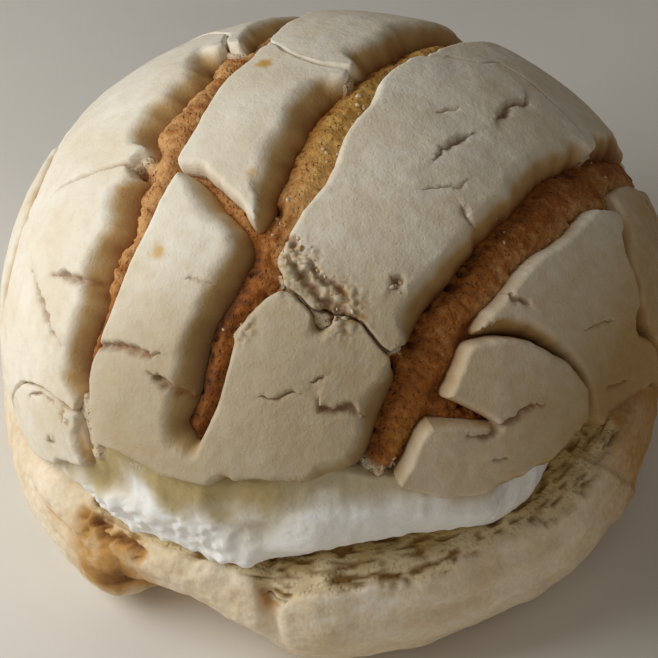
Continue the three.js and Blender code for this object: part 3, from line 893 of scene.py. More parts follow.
def plate_underside(loop, points, faces):
    rim = rim_of(faces)
    flat = honeycomb(loop.min(0), loop.max(0), coarse_step)
    flat = flat[lies_inside(loop, flat) & (gap_to(flat, loop) > 1)]
    under, under_faces = join(points[rim], flat)
    match, gap = nearest(under, points[rim])
    inner = gap > 0.01
    number = np.where(inner, len(points) + np.cumsum(inner) - 1, np.array(rim)[match])
    return under[inner], number[under_faces][:, ::-1]


front_loop = plate_loops["paste_front"][0]
print("points to fill the front plate:", len(plate_filling(front_loop, cracks["paste_front"], 0)))

# %% [markdown]
# ## The shape of a plate's edge and top
# The edge that faces away from the window is a broad soft slope and the other one is crisp, so the edge
# radius follows the outline's direction. The top swells and dips a little, and stands in lumps where the
# paste is crumbly. A bevel modifier could round the edges, but not with a radius that changes on its way.

# %% Plate relief
def shade_share(loop):
    return blur_loop(smooth_step(0.1, 0.85, outward(loop) @ shade_side), 5)


def edge_share(points, loop, seed):
    index, gap = nearest(points, loop)
    off_seam = smooth_step(0.8, 4.5, gap_to(points, closed_seam))
    shaded = shade_share(loop)[index] * off_seam
    radius = (0.4 + 0.8 * off_seam + 3.5 * shaded) * (1 + 0.3 * hills(points, 5, seed + 11))
    shoulder = np.clip(gap / radius, 0, 1)
    return (1 - (1 - shoulder) ** (2.1 - 0.4 * shaded)) ** (0.5 + 0.45 * shaded), shaded


def plate_swell(points, on_dome, seed):
    swell = 0.3 * hills(points, 13, seed + 1)
    return swell + 0.1 * hills(on_dome, 4, seed + 2) + 0.05 * hills(on_dome, 1.6, seed + 3)


shares = [shade_share(loop).mean() for loop, _ in plate_loops.values()]
print("share of the edges in the shade: from", round(min(shares), 2), "to", round(max(shares), 2))

# %% [markdown]
# ## The colour of a plate
# The paste is toasted at its thin edge. Shade is also painted into the colour: the edges that face away from
# the window, a little of the front and more of the right side are darker, and near the mouth the low front
# and low right are painted greyer and darker. These are marks on the points: the shader only mixes colours by
# them, so the colour stays with the piece from every side.

# %% Plate colours
def plate_toast_and_shade(points, share, shaded):
    u, v = points.T
    # Toast at the thin foot is real; weighting it by shaded paints shade on the edges that face away from the
    # window.
    edge = (0.35 * smooth_step(0, 0.3, 1 - share) + 0.65 * (1 - share) ** 1.3) * (0.2 + 0.8 * shaded)
    # Painted shade: a little darker at the low front, and darker to the right, away from the window.
    shaded_low_front = smooth_step(-38, -66, v + 0.25 * np.clip(u, -25, 0)) * smooth_step(-72, -45, u)
    shaded_right = 0.06 * smooth_step(-15, 10, u) + 0.16 * smooth_step(10, 55, u)
    far_right = smooth_step(40, 57, u) * smooth_step(35, 5, v)
    return edge + 0.15 * shaded_low_front + shaded_right * (0.25 + 0.75 * smooth_step(-22, -45, v)) + 0.34 * far_right


def plate_painted_shade(points):
    # Painted shade: how much darker and greyer the paste is at the low front and low right near the mouth.
    u, v = points.T
    front = smooth_step(-32, -60, v) * smooth_step(20, 8, u) * (0.35 + 0.65 * smooth_step(-60, -42, u))
    right = smooth_step(-36, -50, v) * smooth_step(25, 45, u)
    return 0.55 * front + 0.35 * right


def plate_spots(node, points, seed):
    spot = np.zeros(len(points))
    uneven = 1 + 0.4 * hills(points, 0.8, seed + 4)
    for u, v, size, strength in spots.get(node, []):
        off = np.hypot(points[:, 0] - u, points[:, 1] - v) * uneven
        spot = np.maximum(spot, strength * (1 - smooth_step(0.3 * size, size, off)))
    return spot


print("moisture at the front plate's edge:", plate_painted_shade(front_loop).mean().round(2))

# %% [markdown]
# ## Making the plates
# Now every plate is filled, shaped, carved, coloured and closed. Everything is computed on the flat map and
# lifted on the dome at the end. The underside sits half a millimetre inside the bread, so no gap shows at
# the foot of the paste.

# %% Plates
paste_foot = -0.5


def make_plate(node, loop, thickness, seed):
    lines = cracks.get(node, [])
    points, faces = join(loop, plate_filling(loop, lines, seed))
    under, under_faces = plate_underside(loop, points, faces)
    on_dome = crown_place(points, np.zeros(len(points)))
    broken = crumbliness(points)
    large_lumps = np.abs(hills(on_dome, 1.7, seed + 8))
    small_lumps = np.abs(hills(on_dome, 0.9, seed + 9))
    share, shaded = edge_share(points, loop, seed)
    depth, open_share = carve(points, lines, seed)
    swell = plate_swell(points, on_dome, seed) + broken * (0.6 * large_lumps + 0.5 * small_lumps - 0.4)
    height = paste_foot + (thickness - paste_foot + swell - depth) * share
    # The toast mark holds real toasting and the painted shade of the edges, the front and the right side.
    toast = plate_toast_and_shade(points, share, shaded) + 0.12 * hills(on_dome, 2.0, seed + 6) * (share < 0.98)
    toast += broken * (0.4 * smooth_step(0.25, 0, small_lumps) + 0.3 * smooth_step(0.2, 0, large_lumps))
    blank = np.zeros(len(under))
    marks = {"toast": np.r_[np.clip(toast, 0, 1), blank + 1],
             "soaked": np.r_[plate_painted_shade(points), blank],
             "spot": np.r_[plate_spots(node, points, seed), blank],
             "crack": np.r_[open_share, blank]}
    places = crown_place(np.vstack([points, under]), np.r_[height, blank + paste_foot])
    make_piece(node + "_baked", places, np.vstack([faces, under_faces]), paste, "sugar_paste", [node], marks)


for number, (node, (loop, thickness)) in enumerate(plate_loops.items()):
    make_plate(node, loop, thickness, seed_step * number)

# %% [markdown]
# ## Crust finish
# Between the plates the swollen dough shows: golden to orange-brown, stretched into fibres, with dark pits
# and pale crumbs of paste. The mark "toast" goes from crumb to dark pit; besides toasting, it carries painted
# shade in the pits and on the banks that face away from the window. "gold" makes the crust yellower where it
# baked open, and "smear" is where soft crumb and cream show at the torn lip and in closed seams.

# %% Crust finish
crust = Finish("bread_crust", 0.8, specular=0.3)
crust_cloud = crust.group(soft_patches, "Mask", Size_mm=3.0, Low=0.3, High=0.7)
crust_grain = crust.group(soft_patches, "Mask", Size_mm=0.9, Low=0.25, High=0.75)
crust_uneven = crust.calc("SUBTRACT", crust.calc("ADD", crust_cloud, crust_grain), 1.0)
crust_noise = crust.calc("MULTIPLY", crust_uneven, 0.18)
# The toast mark carries toasting and painted shade in the pits and on the banks away from the window.
crust_toast_and_shade = crust.calc("ADD", crust.mark("toast"), crust_noise, True)
crumb_pale = crust.mix(crust.mark("gold"), srgb(216, 168, 112), srgb(212, 172, 98))
crust_golden = crust.mix(crust.mark("gold"), srgb(162, 98, 40), srgb(168, 110, 42))
crust_baked = crust.group(toasting, "Color", Pale=crumb_pale, Golden=crust_golden, Brown=srgb(72, 35, 13),
                          Toast=crust_toast_and_shade)
crust.colour(crust.mix(crust.mark("smear"), crust_baked, srgb(227, 214, 186)))
crust.bump(crust_grain, 0.22)
crust_pores = crust.group(pores, "Mask", Size_mm=0.8, Low=0.08, High=0.4)
crust.bump(crust.calc("SUBTRACT", 1.0, crust_pores), 0.22)
print("crust finish:", len(crust.tree.nodes), "nodes")

# %% [markdown]
# ## The crown's crust
# Only the grooves of the crown are seen, so fine points go there and coarse ones under the plates. The lip
# is the rim of the dome, traced from the crown's solid and made ragged. Subdividing the whole dome would put
# most of the points where nobody sees them.

# %% Crown net
lip_step = 0.5
groove_step = 0.45
crown_points, crown_triangles = solid("bread_crown")
crown_uv, crown_height = crown_map(crown_points)
dome = crown_triangles[(np.abs(crown_height[crown_triangles]) < 0.05).all(axis=1)]
lip = blur_loop(even_loop(turned_left(crown_uv[rim_of(dome)]), lip_step), 2)
lip = lip + outward(lip) * (0.5 * hills(lip, 3.5, 71) + 0.25 * hills(lip, 1.2, 72))[:, None]


def under_plates(points):
    covered = np.zeros(len(points), bool)
    for loop, _ in plate_loops.values():
        covered |= lies_inside(loop, points)
    return covered


edges = np.vstack([loop for loop, _ in plate_loops.values()])
fine = honeycomb(lip.min(0), lip.max(0), groove_step)
fine = fine[lies_inside(lip, fine)]
groove = fine[(~under_plates(fine) | (gap_to(fine, edges) < 1)) & (gap_to(fine, lip) > 0.3)]
coarse = honeycomb(lip.min(0), lip.max(0), coarse_step)
coarse = coarse[under_plates(coarse) & (gap_to(coarse, edges) > 1.6) & (gap_to(coarse, lip) > 1.5)]
crown_flat, crown_faces = join(lip, np.vstack([groove, coarse]))
print("crust points:", len(groove), "fine and", len(coarse), "coarse")

# %% [markdown]
# ## Groove relief
# In a groove the dough bulges in the middle, carries fibres across, and sinks into pits beside its banks. At
# one bank it rises in crumbs: the lit bank, or the shaded one in the left groove. The relief is a sum of such
# parts, steered by the distances to the lit and the shaded plate edges. It is easiest to judge one part at a
# time by setting the others to zero.

# %% Groove relief
facing = np.concatenate([outward(loop) @ shade_side for loop, _ in plate_loops.values()])
to_lit = gap_to(crown_flat, edges[facing < 0.15])
to_shade = gap_to(crown_flat, edges[facing >= 0.15])
to_bank = np.minimum(to_lit, to_shade)
to_lip = gap_to(crown_flat, lip)
groove_width = to_lit + to_shade
crown_u, crown_v = crown_flat.T
groove_way = np.array([0.43, 0.90])
across = crown_flat @ shade_side
along = crown_flat @ groove_way
left_groove = smooth_step(0, -8, across)

bulge = 0.2 + 1.0 * smooth_step(0.2, 2.2, to_bank)
bulge += 0.5 * smooth_step(3, 6, groove_width) * np.sin(np.pi * np.clip(to_shade / groove_width, 0, 1))
fibre_map = np.column_stack([along / 0.9, across / 3.2])
wide_fibres = hills(fibre_map, 1.0, 31)
fibres = 0.26 * wide_fibres + 0.16 * hills(fibre_map * 2.1, 1.0, 32)
pit_hills = hills(crown_flat, 1.3, 33) + 0.5 * hills(crown_flat, 0.6, 34)
pits = smooth_step(0.15, 0.7, pit_hills) * np.exp(-to_shade / 1.1)
pits = np.maximum(pits, 0.6 * smooth_step(0.45, 0.9, pit_hills) * np.exp(-to_lit / 1.5))
to_crumbs = to_lit * (1 - left_groove) + to_shade * left_groove
crumbly = bell(to_crumbs, 0, 2.0) * smooth_step(2, 5, groove_width)
crumbly *= 0.3 + 0.7 * smooth_step(-62, -40, crown_v)
crumb_hills = hills(crown_flat, 1.1, 35) + 0.6 * hills(crown_flat, 0.55, 36)
crumbs_up = crumbly * (0.8 - 0.55 * left_groove + (0.6 - 0.4 * left_groove) * crumb_hills)
for label, part in (("pits", pits), ("crumbs", crumbly)):
    print("share of the crust in", label, round((part > 0.3).mean(), 3))

# %% [markdown]
# ## The crust's height
# The parts are added up. The crust rolls in at the lip, stands higher in the upper left groove, and shows in
# the notch of the side plate. Under a plate it sinks, so that it never pokes through the paste.

# %% Crust height
pit_depth = 1.3
roll_depth = 2.2
left_groove_rise = 0.8
notch_rise = 1.3
crown_rise = bulge + fibres - pit_depth * pits + crumbs_up - roll_depth * (1 - smooth_step(0, 4.5, to_lip))
upper_left = left_groove * smooth_step(-24, -10, crown_v) * smooth_step(1, 3, groove_width)
crown_rise += left_groove_rise * upper_left
for mouth, tip, _ in notches.values():
    crown_rise += notch_rise * patch(crown_flat, np.add(mouth, tip) / 2, 2, 7)
crown_rise -= under_plates(crown_flat) * smooth_step(0, 0.6, to_bank)
print("groove relief from", round(crown_rise.min(), 2), "to", round(crown_rise.max(), 2), "mm")

# %% [markdown]
# ## The crust's colour
# Pits and the banks that face away from the window are darker, as painted shade, and crumbs are paler. The
# upper grooves are lighter and more golden, and the lower end of the middle one is dark. At the mouth a smear
# of soft crumb and cream covers the crust near the lip, but hardly at the end of the right groove.

# %% Crust colour
# Painted shade: the pits and the banks beside edges that face away from the window are darker.
crown_toast_and_shade = 0.5 + 0.16 * wide_fibres + 0.45 * pits - 0.6 * crumbly * (0.6 + 0.4 * crumb_hills)
crown_toast_and_shade += 0.16 * np.exp(-to_shade / 1.6)
crown_toast_and_shade -= 0.28 * smooth_step(30, 0, across) * smooth_step(-45, -32, crown_v)
middle_groove = band(across, -10, 0, 15, 30)
crown_toast_and_shade += middle_groove * (0.22 * smooth_step(-34, -48, crown_v) - 0.06 * bell(crown_v, -25, 9))
crown_toast_and_shade += left_groove * (0.08 - 0.12 * bell(crown_v, -28, 8))
gold = smooth_step(-42, -15, crown_v) * band(across, -6, 4, 22, 36)
gold = np.maximum(gold, 0.8 * patch(crown_flat, (13, -71), 2, 6))
smear_width = 7.5 + 5 * smooth_step(-30, -50, crown_u) - 5.5 * bell(crown_u, 11, 7)
smear = 1 - smooth_step(1.5, smear_width, to_lip + 1.5 * hills(crown_flat, 4, 37))
smear *= smooth_step(-35, -60, crown_v)
print("smeared share of the crust:", round(smear.mean(), 3))

# %% [markdown]
# ## Crumbs in the closed seams
# Where two plates stayed together, the crust must not show as a brown line. Pale crumb fills such a seam
# almost to the top of the paste, looser where the paste is crumbly. A point lies in a seam when its distances
# to both plates add up to little more than the seam's width. One open pit beside a seam has its own plug.

# %% Seam filling
fill_share = 0.75
fill_height = 3.0
plug_share = 0.85
plug_place = (-2.8, -52.2)


def seam_filling(points):
    filled = plug_share * patch(points, plug_place, 1.2, 2.8)
    for first, second, widest in closed_pairs:
        first_loop, second_loop = plate_loops[first][0], plate_loops[second][0]
        index, to_first = nearest(points, first_loop)
        gap = gap_to(first_loop, second_loop)[index]
        beyond = to_first + gap_to(points, second_loop) - 1.1 * gap
        filled = np.maximum(filled, fill_share * (1 - smooth_step(0.1, 0.9, beyond)) * (gap < widest))
    return filled


filled = seam_filling(crown_flat)
loose = crumbliness(crown_flat)
lumps = hills(crown_flat, 1.3, 38) + 0.5 * hills(crown_flat, 0.65, 39)
crown_rise += filled * (fill_height - 0.8 * loose + (0.15 + 0.7 * loose) * lumps - crown_rise)
smear = np.maximum(smear, filled * (1 - loose * smooth_step(0.4, -0.4, lumps)))
print("crust points in closed seams:", int((filled > 0.1).sum()))

# %% [markdown]
# ## Closing the crown
# The crown's lower side is the torn cut face over the cream. It runs from the lip inwards and dips to a
# shallow dish, so rings that shrink towards the middle describe it well. Near the lip it is open crumb.

# %% Crown piece
cut_height = 30.0
ring_shares = (0.985, 0.965, 0.94, 0.9, 0.85, 0.75, 0.6, 0.4, 0.2)


def dished(row, middle, share):
    return np.column_stack([row[:, :2] * share, middle + (row[:, 2] - middle) * share ** 2])


crown_skin = crown_place(crown_flat, crown_rise)
crown_rim = np.array(rim_of(crown_faces))
count = len(crown_rim)
cut_rings = []
closing = []
upper = crown_rim
for number, share in enumerate(ring_shares):
    ring = dished(crown_skin[crown_rim], cut_height, share)
    ring[:, 2] += 0.5 * hills(ring, 1.4, 41) * smooth_step(0.5, 0.9, share)
    cut_rings.append(ring)
    lower = len(crown_skin) + number * count + np.arange(count)
    closing.append(np.column_stack([upper, lower, np.roll(upper, -1)]))
    closing.append(np.column_stack([np.roll(upper, -1), lower, np.roll(lower, -1)]))
    upper = lower
middle = len(crown_skin) + len(ring_shares) * count
closing.append(np.column_stack([upper, np.full(count, middle), np.roll(upper, -1)]))
crown_all = np.vstack([crown_skin, *cut_rings, [[0, 0, cut_height]]])
cut_face = np.ones(len(crown_all) - len(crown_skin))
crown_marks = {"toast": np.r_[np.clip(crown_toast_and_shade, 0, 1), 0.3 * cut_face],
               "gold": np.r_[gold, 0 * cut_face],
               "smear": np.r_[smear, 0.75 * cut_face]}
make_piece("crown_crust", crown_all, np.vstack([crown_faces, *closing]), crust, "bread_crust",
           ["bread_crown"], crown_marks)

# %% [markdown]
# ## Base finish
# The lower half is paler than the grooves: a dusty beige skin that is toasted where hot air reached it, and
# yellowish open crumb where it tore. The mark "toast" browns the skin and "dust" whitens it with flour. The
# mark "crumb" says where the crumb is open, "olive" makes it duller further in, and "hole" paints shade into
# its holes.

# %% Base finish
base = Finish("base_crust", 0.85, specular=0.25)
base_cloud = base.group(soft_patches, "Mask", Size_mm=9.0, Low=0.3, High=0.72)
base_grain = base.group(soft_patches, "Mask", Size_mm=1.1, Low=0.25, High=0.75)
base_pale = base.mix(base_cloud, srgb(245, 234, 212), srgb(232, 216, 186))
base_toast = base.calc("ADD", base.mark("toast"), base.calc("MULTIPLY", base_grain, 0.12), True)
base_skin = base.group(toasting, "Color", Pale=base_pale, Golden=srgb(192, 147, 86), Brown=srgb(112, 66, 32),
                       Toast=base_toast)
base_crumb = base.mix(base.mark("olive"), srgb(232, 214, 176), srgb(206, 180, 124))
# Painted shade: the dented holes of the crumb are mixed towards brown.
base_crumb = base.mix(base.mark("hole"), base_crumb, srgb(140, 106, 58))
base_dusted = base.mix(base.mark("dust"), base_skin, srgb(252, 247, 236))
base.colour(base.mix(base.mark("crumb"), base_dusted, base_crumb))
base.bump(base_grain, 0.08)
crumb_holes = base.group(pores, "Mask", Size_mm=0.9, Low=0.1, High=0.5)
base.bump(base.calc("MULTIPLY", base.calc("SUBTRACT", 1.0, crumb_holes), base.mark("crumb")), 0.2)
print("base finish:", len(base.tree.nodes), "nodes")

# %% [markdown]
# ## Reading a round solid by rays
# Base and cream are round, so they are sampled like a lathe: for many directions around the axis, rays find
# the solid's surface from the side or from above. The samples form a net of rows and spokes.

# %% Rays
spoke_count = 900
degrees = np.arange(spoke_count) * 360 / spoke_count - 180
angles = np.radians(degrees)
spokes = np.column_stack([np.cos(angles), np.sin(angles)])
far_off = 90.0


def ray_tree(node):
    places, triangles = solid(node)
    return BVHTree.FromPolygons(places.tolist(), triangles.tolist())


def side_reach(tree, heights):
    reach = np.full(heights.shape, np.nan)
    for (row, spoke), height in np.ndenumerate(heights):
        x, y = spokes[spoke]
        hit = tree.ray_cast((far_off * x, far_off * y, height), (-x, -y, 0))[0]
        if hit and hit[0] * x + hit[1] * y > 0:
            reach[row, spoke] = math.hypot(hit[0], hit[1])
    return reach


def top_height(tree, reach):
    height = np.full(reach.shape, np.nan)
    for (row, spoke), out in np.ndenumerate(reach):
        x, y = spokes[spoke]
        hit = tree.ray_cast((out * x, out * y, far_off), (0, 0, -1))[0]
        if hit:
            height[row, spoke] = hit[2]
    return height


print("spokes:", spoke_count, "every", 360 / spoke_count, "degrees")

# %% [markdown]
# ## Working on a net
# A net is easy to smooth from row to row, and it can be pushed along its own normals, which sculpts relief on
# any side. Random hills can be stretched, which gives fibres and streaks. Two points, one in the middle of
# the top row and one of the bottom row, close the net to a body.

# %% Nets
def net_places(reach, height):
    return np.dstack([reach * spokes[:, 0], reach * spokes[:, 1], height])


def net_hills(net, size, seed, stretch=(1, 1, 1)):
    return hills(net.reshape(-1, 3) * np.array(stretch), size, seed).reshape(net.shape[:2])


def soften(rows, first, last, rounds):
    for _ in range(rounds):
        rows[first:last] = (rows[first - 1:last - 1] + 2 * rows[first:last] + rows[first + 1:last + 1]) / 4


def pushed_out(net, rise):
    around = np.roll(net, -1, axis=1) - np.roll(net, 1, axis=1)
    normal = np.cross(np.gradient(net, axis=0), around)
    normal = normal / np.maximum(np.linalg.norm(normal, axis=2, keepdims=True), 1e-9)
    return net + normal * rise[:, :, None]


def closed_net(net, top, bottom):
    grid = np.arange(len(net) * spoke_count).reshape(len(net), spoke_count)
    beside = np.roll(grid, -1, axis=1)
    top_point = np.full(spoke_count, grid.size)
    low_point = np.full(spoke_count, grid.size + 1)
    faces = [np.dstack([grid[:-1], grid[1:], beside[:-1]]).reshape(-1, 3),
             np.dstack([beside[:-1], grid[1:], beside[1:]]).reshape(-1, 3),
             np.column_stack([top_point, grid[0], beside[0]]),
             np.column_stack([beside[-1], grid[-1], low_point])]
    return np.vstack([net.reshape(-1, 3), [[0, 0, top]], [[0, 0, bottom]]]), np.vstack(faces)


tube = net_places(np.full((3, spoke_count), 50.0), np.arange(3)[:, None] * np.ones(spoke_count))
print("a net of three rows closes with", len(closed_net(tube, 2, 0)[1]), "triangles")

# %% [markdown]
# ## The lower half of the bun
# Its rim is where skin meets torn crumb. The net starts at the middle of the cut face, goes out to the rim,
# down the side and in under the foot. Rows are close together near the rim, where the detail is.

# %% Base net
base_tree = ray_tree("bread_base")
rim_reach = 55.2
cut_reach = np.r_[np.linspace(4, 42, 9), np.linspace(44, rim_reach, 28)]
cut_rows = np.tile(cut_reach[:, None], spoke_count)
cut_heights = top_height(base_tree, cut_rows)
rim_height = cut_heights[-1]
side_shares = np.r_[np.linspace(0.985, 0.6, 30), np.linspace(0.58, 0.03, 26)]
side_heights = side_shares[:, None] * rim_height
side_rows = side_reach(base_tree, side_heights)
foot_shares = np.array([0.97, 0.9, 0.6, 0.2])[:, None]
base_reach = np.vstack([cut_rows, side_rows, side_rows[-1] * foot_shares])
base_height = np.vstack([cut_heights, side_heights, np.zeros((len(foot_shares), spoke_count))])
rim_row = len(cut_reach) - 1
side_end = rim_row + len(side_shares)
for rows in (base_reach, base_height):
    rows[:] = blur_loop(rows.T, 4).T
    soften(rows, rim_row - 9, rim_row + 15, 40)
    soften(rows, side_end - 6, side_end, 4)
base_net = net_places(base_reach, base_height)
print("base rim from", round(rim_height.min(), 1), "to", round(rim_height.max(), 1), "mm high")

# %% [markdown]
# ## Where the skin ends
# Around the mouth the skin ends in a torn edge near the rim, and the crumb behind it is open and yellowish.
# How far the edge lies below the rim wanders with the angle. Angles are in degrees, with -90 at the front and
# -180 at the left.

# %% Torn edge
row_number = np.arange(len(base_reach))[:, None]
below = np.where(row_number <= rim_row, base_reach - rim_reach, rim_height - base_height)
mouth = band(degrees, -152, -142, -30, -22)
rim_points = 56 * spokes
tear = 1.3 + 0.9 * hills(rim_points, 4.5, 51) + 0.6 * hills(rim_points, 1.3, 52)
tear += 1.2 * band(degrees, -100, -94, -74, -66) + 3.6 * band(degrees, -136, -132, -124, -120)
tear += 3.0 * bell(degrees, -98, 2.5) - 0.7 * bell(degrees, -111, 8) - 3.2 * smooth_step(-120, -126, degrees)
skin = smooth_step(-0.35, 0.35, below - (tear * mouth - 6 * (1 - mouth)))
skin[side_end:] = 1
crumb = 1 - skin
print("share of the net that is open crumb:", round(crumb[:side_end].mean(), 2))

# %% [markdown]
# ## Folds and tears of the base
# A pocket is torn at the front left beside a swollen cheek, a crease and a fold run down from the rim at the
# front, and a flap of skin ends at the right. Each of them is one mask over the net, made of bells and bands
# in angle and height. Masks are easier to tune one by one than a sculpted mesh, and the colour uses them too.

# %% Base folds
flap_edge = -33 + (20 - base_height) * 0.85 + 1.4 * net_hills(base_net, 2.5, 53)
flap = smooth_step(0.6, -0.6, degrees - flap_edge) * smooth_step(9, 13, base_height)
flap *= smooth_step(-95, -80, degrees)
crease = bell(degrees, -99.2 - 0.18 * (base_height - 20), 1.3) * smooth_step(7, 16, base_height)
fold = bell(degrees, -91, 6) * smooth_step(8, 16, base_height)
cheek = bell(degrees, -144, 6) * bell(base_height, 20, 3.5)
cheek_line = bell(degrees, -141, 8) * bell(base_height, 15.8 + 0.8 * net_hills(base_net, 4, 60), 0.7)
pocket = band(degrees, -137, -133, -123, -119) * bell(below, 2.0, 2.4)
torn = smooth_step(-0.1, 0.5, net_hills(base_net, 1.9, 61) + 0.4 * net_hills(base_net, 0.9, 71))
dent = bell(degrees, -153, 5) * bell(base_height, 23.5, 2.2)
left_side = band(degrees, -165, -150, -106, -98)
back = 1 - band(degrees, -165, -150, -25, -10)
print("the pocket covers", int((pocket > 0.5).sum()), "points and the flap", int((flap > 0.5).sum()))

# %% [markdown]
# ## Grain of the base
# The open crumb tears in long flat holes that lie around the bun, so its hills are taken on coordinates that
# are squeezed along the angle. The skin at the right shows soft layers, and the skin at the back wrinkles.

# %% Base grain
streak_length = 4.0
around_bun = np.tile(angles * bread_radius, len(base_reach)) / streak_length
lie = np.column_stack([around_bun, base_reach.ravel(), base_height.ravel()])
streak_hills = 0.8 * hills(lie, 0.75, 55) + 0.7 * hills(lie * np.array([1.7, 1.3, 1.3]), 0.7, 56)
hole = smooth_step(-0.1, 0.8, streak_hills.reshape(base_reach.shape))
layers = np.sin(below * 1.25 + 1.6 * net_hills(base_net, 16, 54)) * band(degrees, -88, -70, -35, -15)
wrinkles = net_hills(base_net, 3.2, 63, (0.5, 0.5, 1.8)) + 0.5 * net_hills(base_net, 1.5, 64)
print("share of the net in holes:", round((hole > 0.5).mean(), 2))

# %% [markdown]
# ## The base's height
# All parts are added up, each with its height in millimetres, and the net is pushed out by the sum. Near the
# floor the relief fades, so that the bun stands flat.

# %% Base relief
relief = 0.9 + 0.7 * net_hills(base_net, 12, 57) + 0.3 * net_hills(base_net, 5, 72)
relief += 0.18 * net_hills(base_net, 2.2, 58) + 0.26 * layers
relief += 0.35 * back * wrinkles + 0.2 * left_side * net_hills(base_net, 1.4, 65)
relief = skin * relief + crumb * (0.5 * net_hills(base_net, 2.6, 62) - 0.45 * hole)
relief += 0.8 * flap - 2.0 * crease + 1.2 * fold - 1.6 * dent
relief += 1.8 * cheek - 1.0 * cheek_line - (0.3 + 1.5 * torn) * pocket
relief *= smooth_step(0, 3, base_height)
base_body = pushed_out(base_net, relief)
base_body[side_end + 1:, :, 2] = 0
print("base relief from", round(relief.min(), 2), "to", round(relief.max(), 2), "mm")

# %% [markdown]
# ## The base as one piece
# The toast mark puts gold on the low left, brown in the pocket and the crease, and tan on the right side and
# at the back. Flour lies on the fold at the front. The masks from the relief are used again, so colour and
# shape fit together.

# %% Base piece
golden = bell(degrees, -127, 6.5) * bell(base_height, 12, 6)
toasted = 0.9 * golden * (1 + 0.5 * net_hills(base_net, 3, 67)) + (0.35 + 0.5 * torn) * pocket
toasted += 0.3 * cheek_line + 0.75 * crease * smooth_step(15, 22, base_height)
toasted += back * (0.22 * smooth_step(14, 24, base_height) + 0.12 * net_hills(base_net, 7, 66))
toasted += 0.36 * band(degrees, -46, -24, 5, 35)
toasted += 0.1 * net_hills(base_net, 5, 59) + 0.15 * smooth_step(4, 0, base_height)
olive = smooth_step(0.5, -3.5, below + 1.5 * net_hills(base_net, 3, 70))
flour = smooth_step(-0.1, 0.6, net_hills(base_net, 2.0, 68) + 0.5 * net_hills(base_net, 0.9, 69))
dust = 0.8 * flour * bell(degrees, -86, 9) * bell(base_height, 20, 4)
base_marks = {"toast": np.r_[np.clip(toasted, 0, 1).ravel(), 0.3, 0.5],
              "dust": np.r_[dust.ravel(), 0, 0],
              "crumb": np.r_[np.clip(crumb * (1 - pocket), 0, 1).ravel(), 1, 0],
              "olive": np.r_[olive.ravel(), 1, 0],
              "hole": np.r_[hole.ravel(), 0, 0]}
make_piece("base_bread", *closed_net(base_body, cut_heights[0].mean(), 0), base, "base_crust",
           ["bread_base"], base_marks)

# %% [markdown]
# ## Cream finish
# Whipped cream is white and soft: light sinks in a little and comes out again. A small subsurface weight
# gives that. A painted shadow tints it yellow-grey under the crown's lip, where the overhang shades it.

# %% Cream finish
cream = Finish("whipped_cream", 0.5)
cream.shader.inputs["Subsurface Weight"].default_value = 0.35
cream.shader.inputs["Subsurface Radius"].default_value = (1, 0.85, 0.7)
cream.shader.inputs["Subsurface Scale"].default_value = 2.5 * MM
cream_cloud = cream.group(soft_patches, "Mask", Size_mm=6.0, Low=0.3, High=0.7)
cream_white = cream.mix(cream_cloud, srgb(251, 252, 252), srgb(248, 248, 244))
# Painted shadow: under the crown's lip the cream is mixed towards yellow-grey.
cream.colour(cream.mix(cream.mark("stain"), cream_white, srgb(182, 163, 112)))
cream.bump(cream.group(soft_patches, "Mask", Size_mm=0.8, Low=0.25, High=0.75), 0.06)
print("cream finish:", len(cream.tree.nodes), "nodes")

# %% [markdown]
# ## The whipped cream
# The solid gives the cream's place between the cuts. Rays from the side find its front, level by level, and
# each spoke keeps only the levels near the furthest one, which leaves out the thin skirts of the wedge.

# %% Cream net
cream_tree = ray_tree("cream_filling")
cream_levels = np.linspace(17, 50, 100)
skirt_depth = 7
found = side_reach(cream_tree, np.tile(cream_levels[:, None], spoke_count))
cream_rows = 44
cream_reach = np.empty((cream_rows, spoke_count))
cream_height = np.empty((cream_rows, spoke_count))
for spoke in range(spoke_count):
    hit = np.flatnonzero(found[:, spoke] > np.nanmax(found[:, spoke]) - skirt_depth)
    levels = np.linspace(cream_levels[hit[-1]], cream_levels[hit[0]], cream_rows)
    cream_height[:, spoke] = levels
    cream_reach[:, spoke] = np.interp(levels, cream_levels[hit], found[hit, spoke])
cream_reach = blur_loop(cream_reach.T, 5).T
cream_height = blur_loop(cream_height.T, 5).T
soften(cream_reach, 1, cream_rows - 1, 4)
print("cream stands", round(np.ptp(cream_height, axis=0).max(), 1), "mm high at most")

# %% [markdown]
# ## Cream over the lip
# At the mouth the cream was pressed up over the torn lip of the crown, to the foot of the plates, but less at
# the end of the right groove. These extra rows lie on the crown's map, a little off the bread, and run into
# the rows from the rays: the profile says how far in from the lip and how far off the bread each row lies.
# Away from the mouth they fold inside the bun, where nobody sees them.

# %% Cream over the lip
spill_profile = ((6.5, -0.3), (5.2, 0.9), (4.0, 1.5), (2.8, 1.9), (1.6, 2.0), (0.5, 1.7))
lip_places = crown_place(lip, np.zeros(len(lip)))
lip_angles = np.arctan2(lip_places[:, 1], lip_places[:, 0])
order = np.argsort(lip_angles)
lip_around = np.column_stack([np.interp(angles, lip_angles[order], side, period=2 * np.pi)
                              for side in lip[order].T])
lip_away = np.hypot(*lip_around.T)[:, None]
spill = band(degrees, -152, -143, -66, -54)[:, None]
reach_up = (1 + 0.6 * bell(degrees, -128, 14) - 0.75 * bell(degrees, -82, 8))[:, None]
spill_rows = []
for inset, lift in spill_profile:
    over = crown_place(lip_around * (1 - inset * reach_up / lip_away), np.full(spoke_count, lift))
    tucked = net_places(cream_reach[:1] - inset, cream_height[:1])[0]
    spill_rows.append(over * spill + tucked * (1 - spill))
down = np.linspace(0, 1, cream_rows)[:, None]
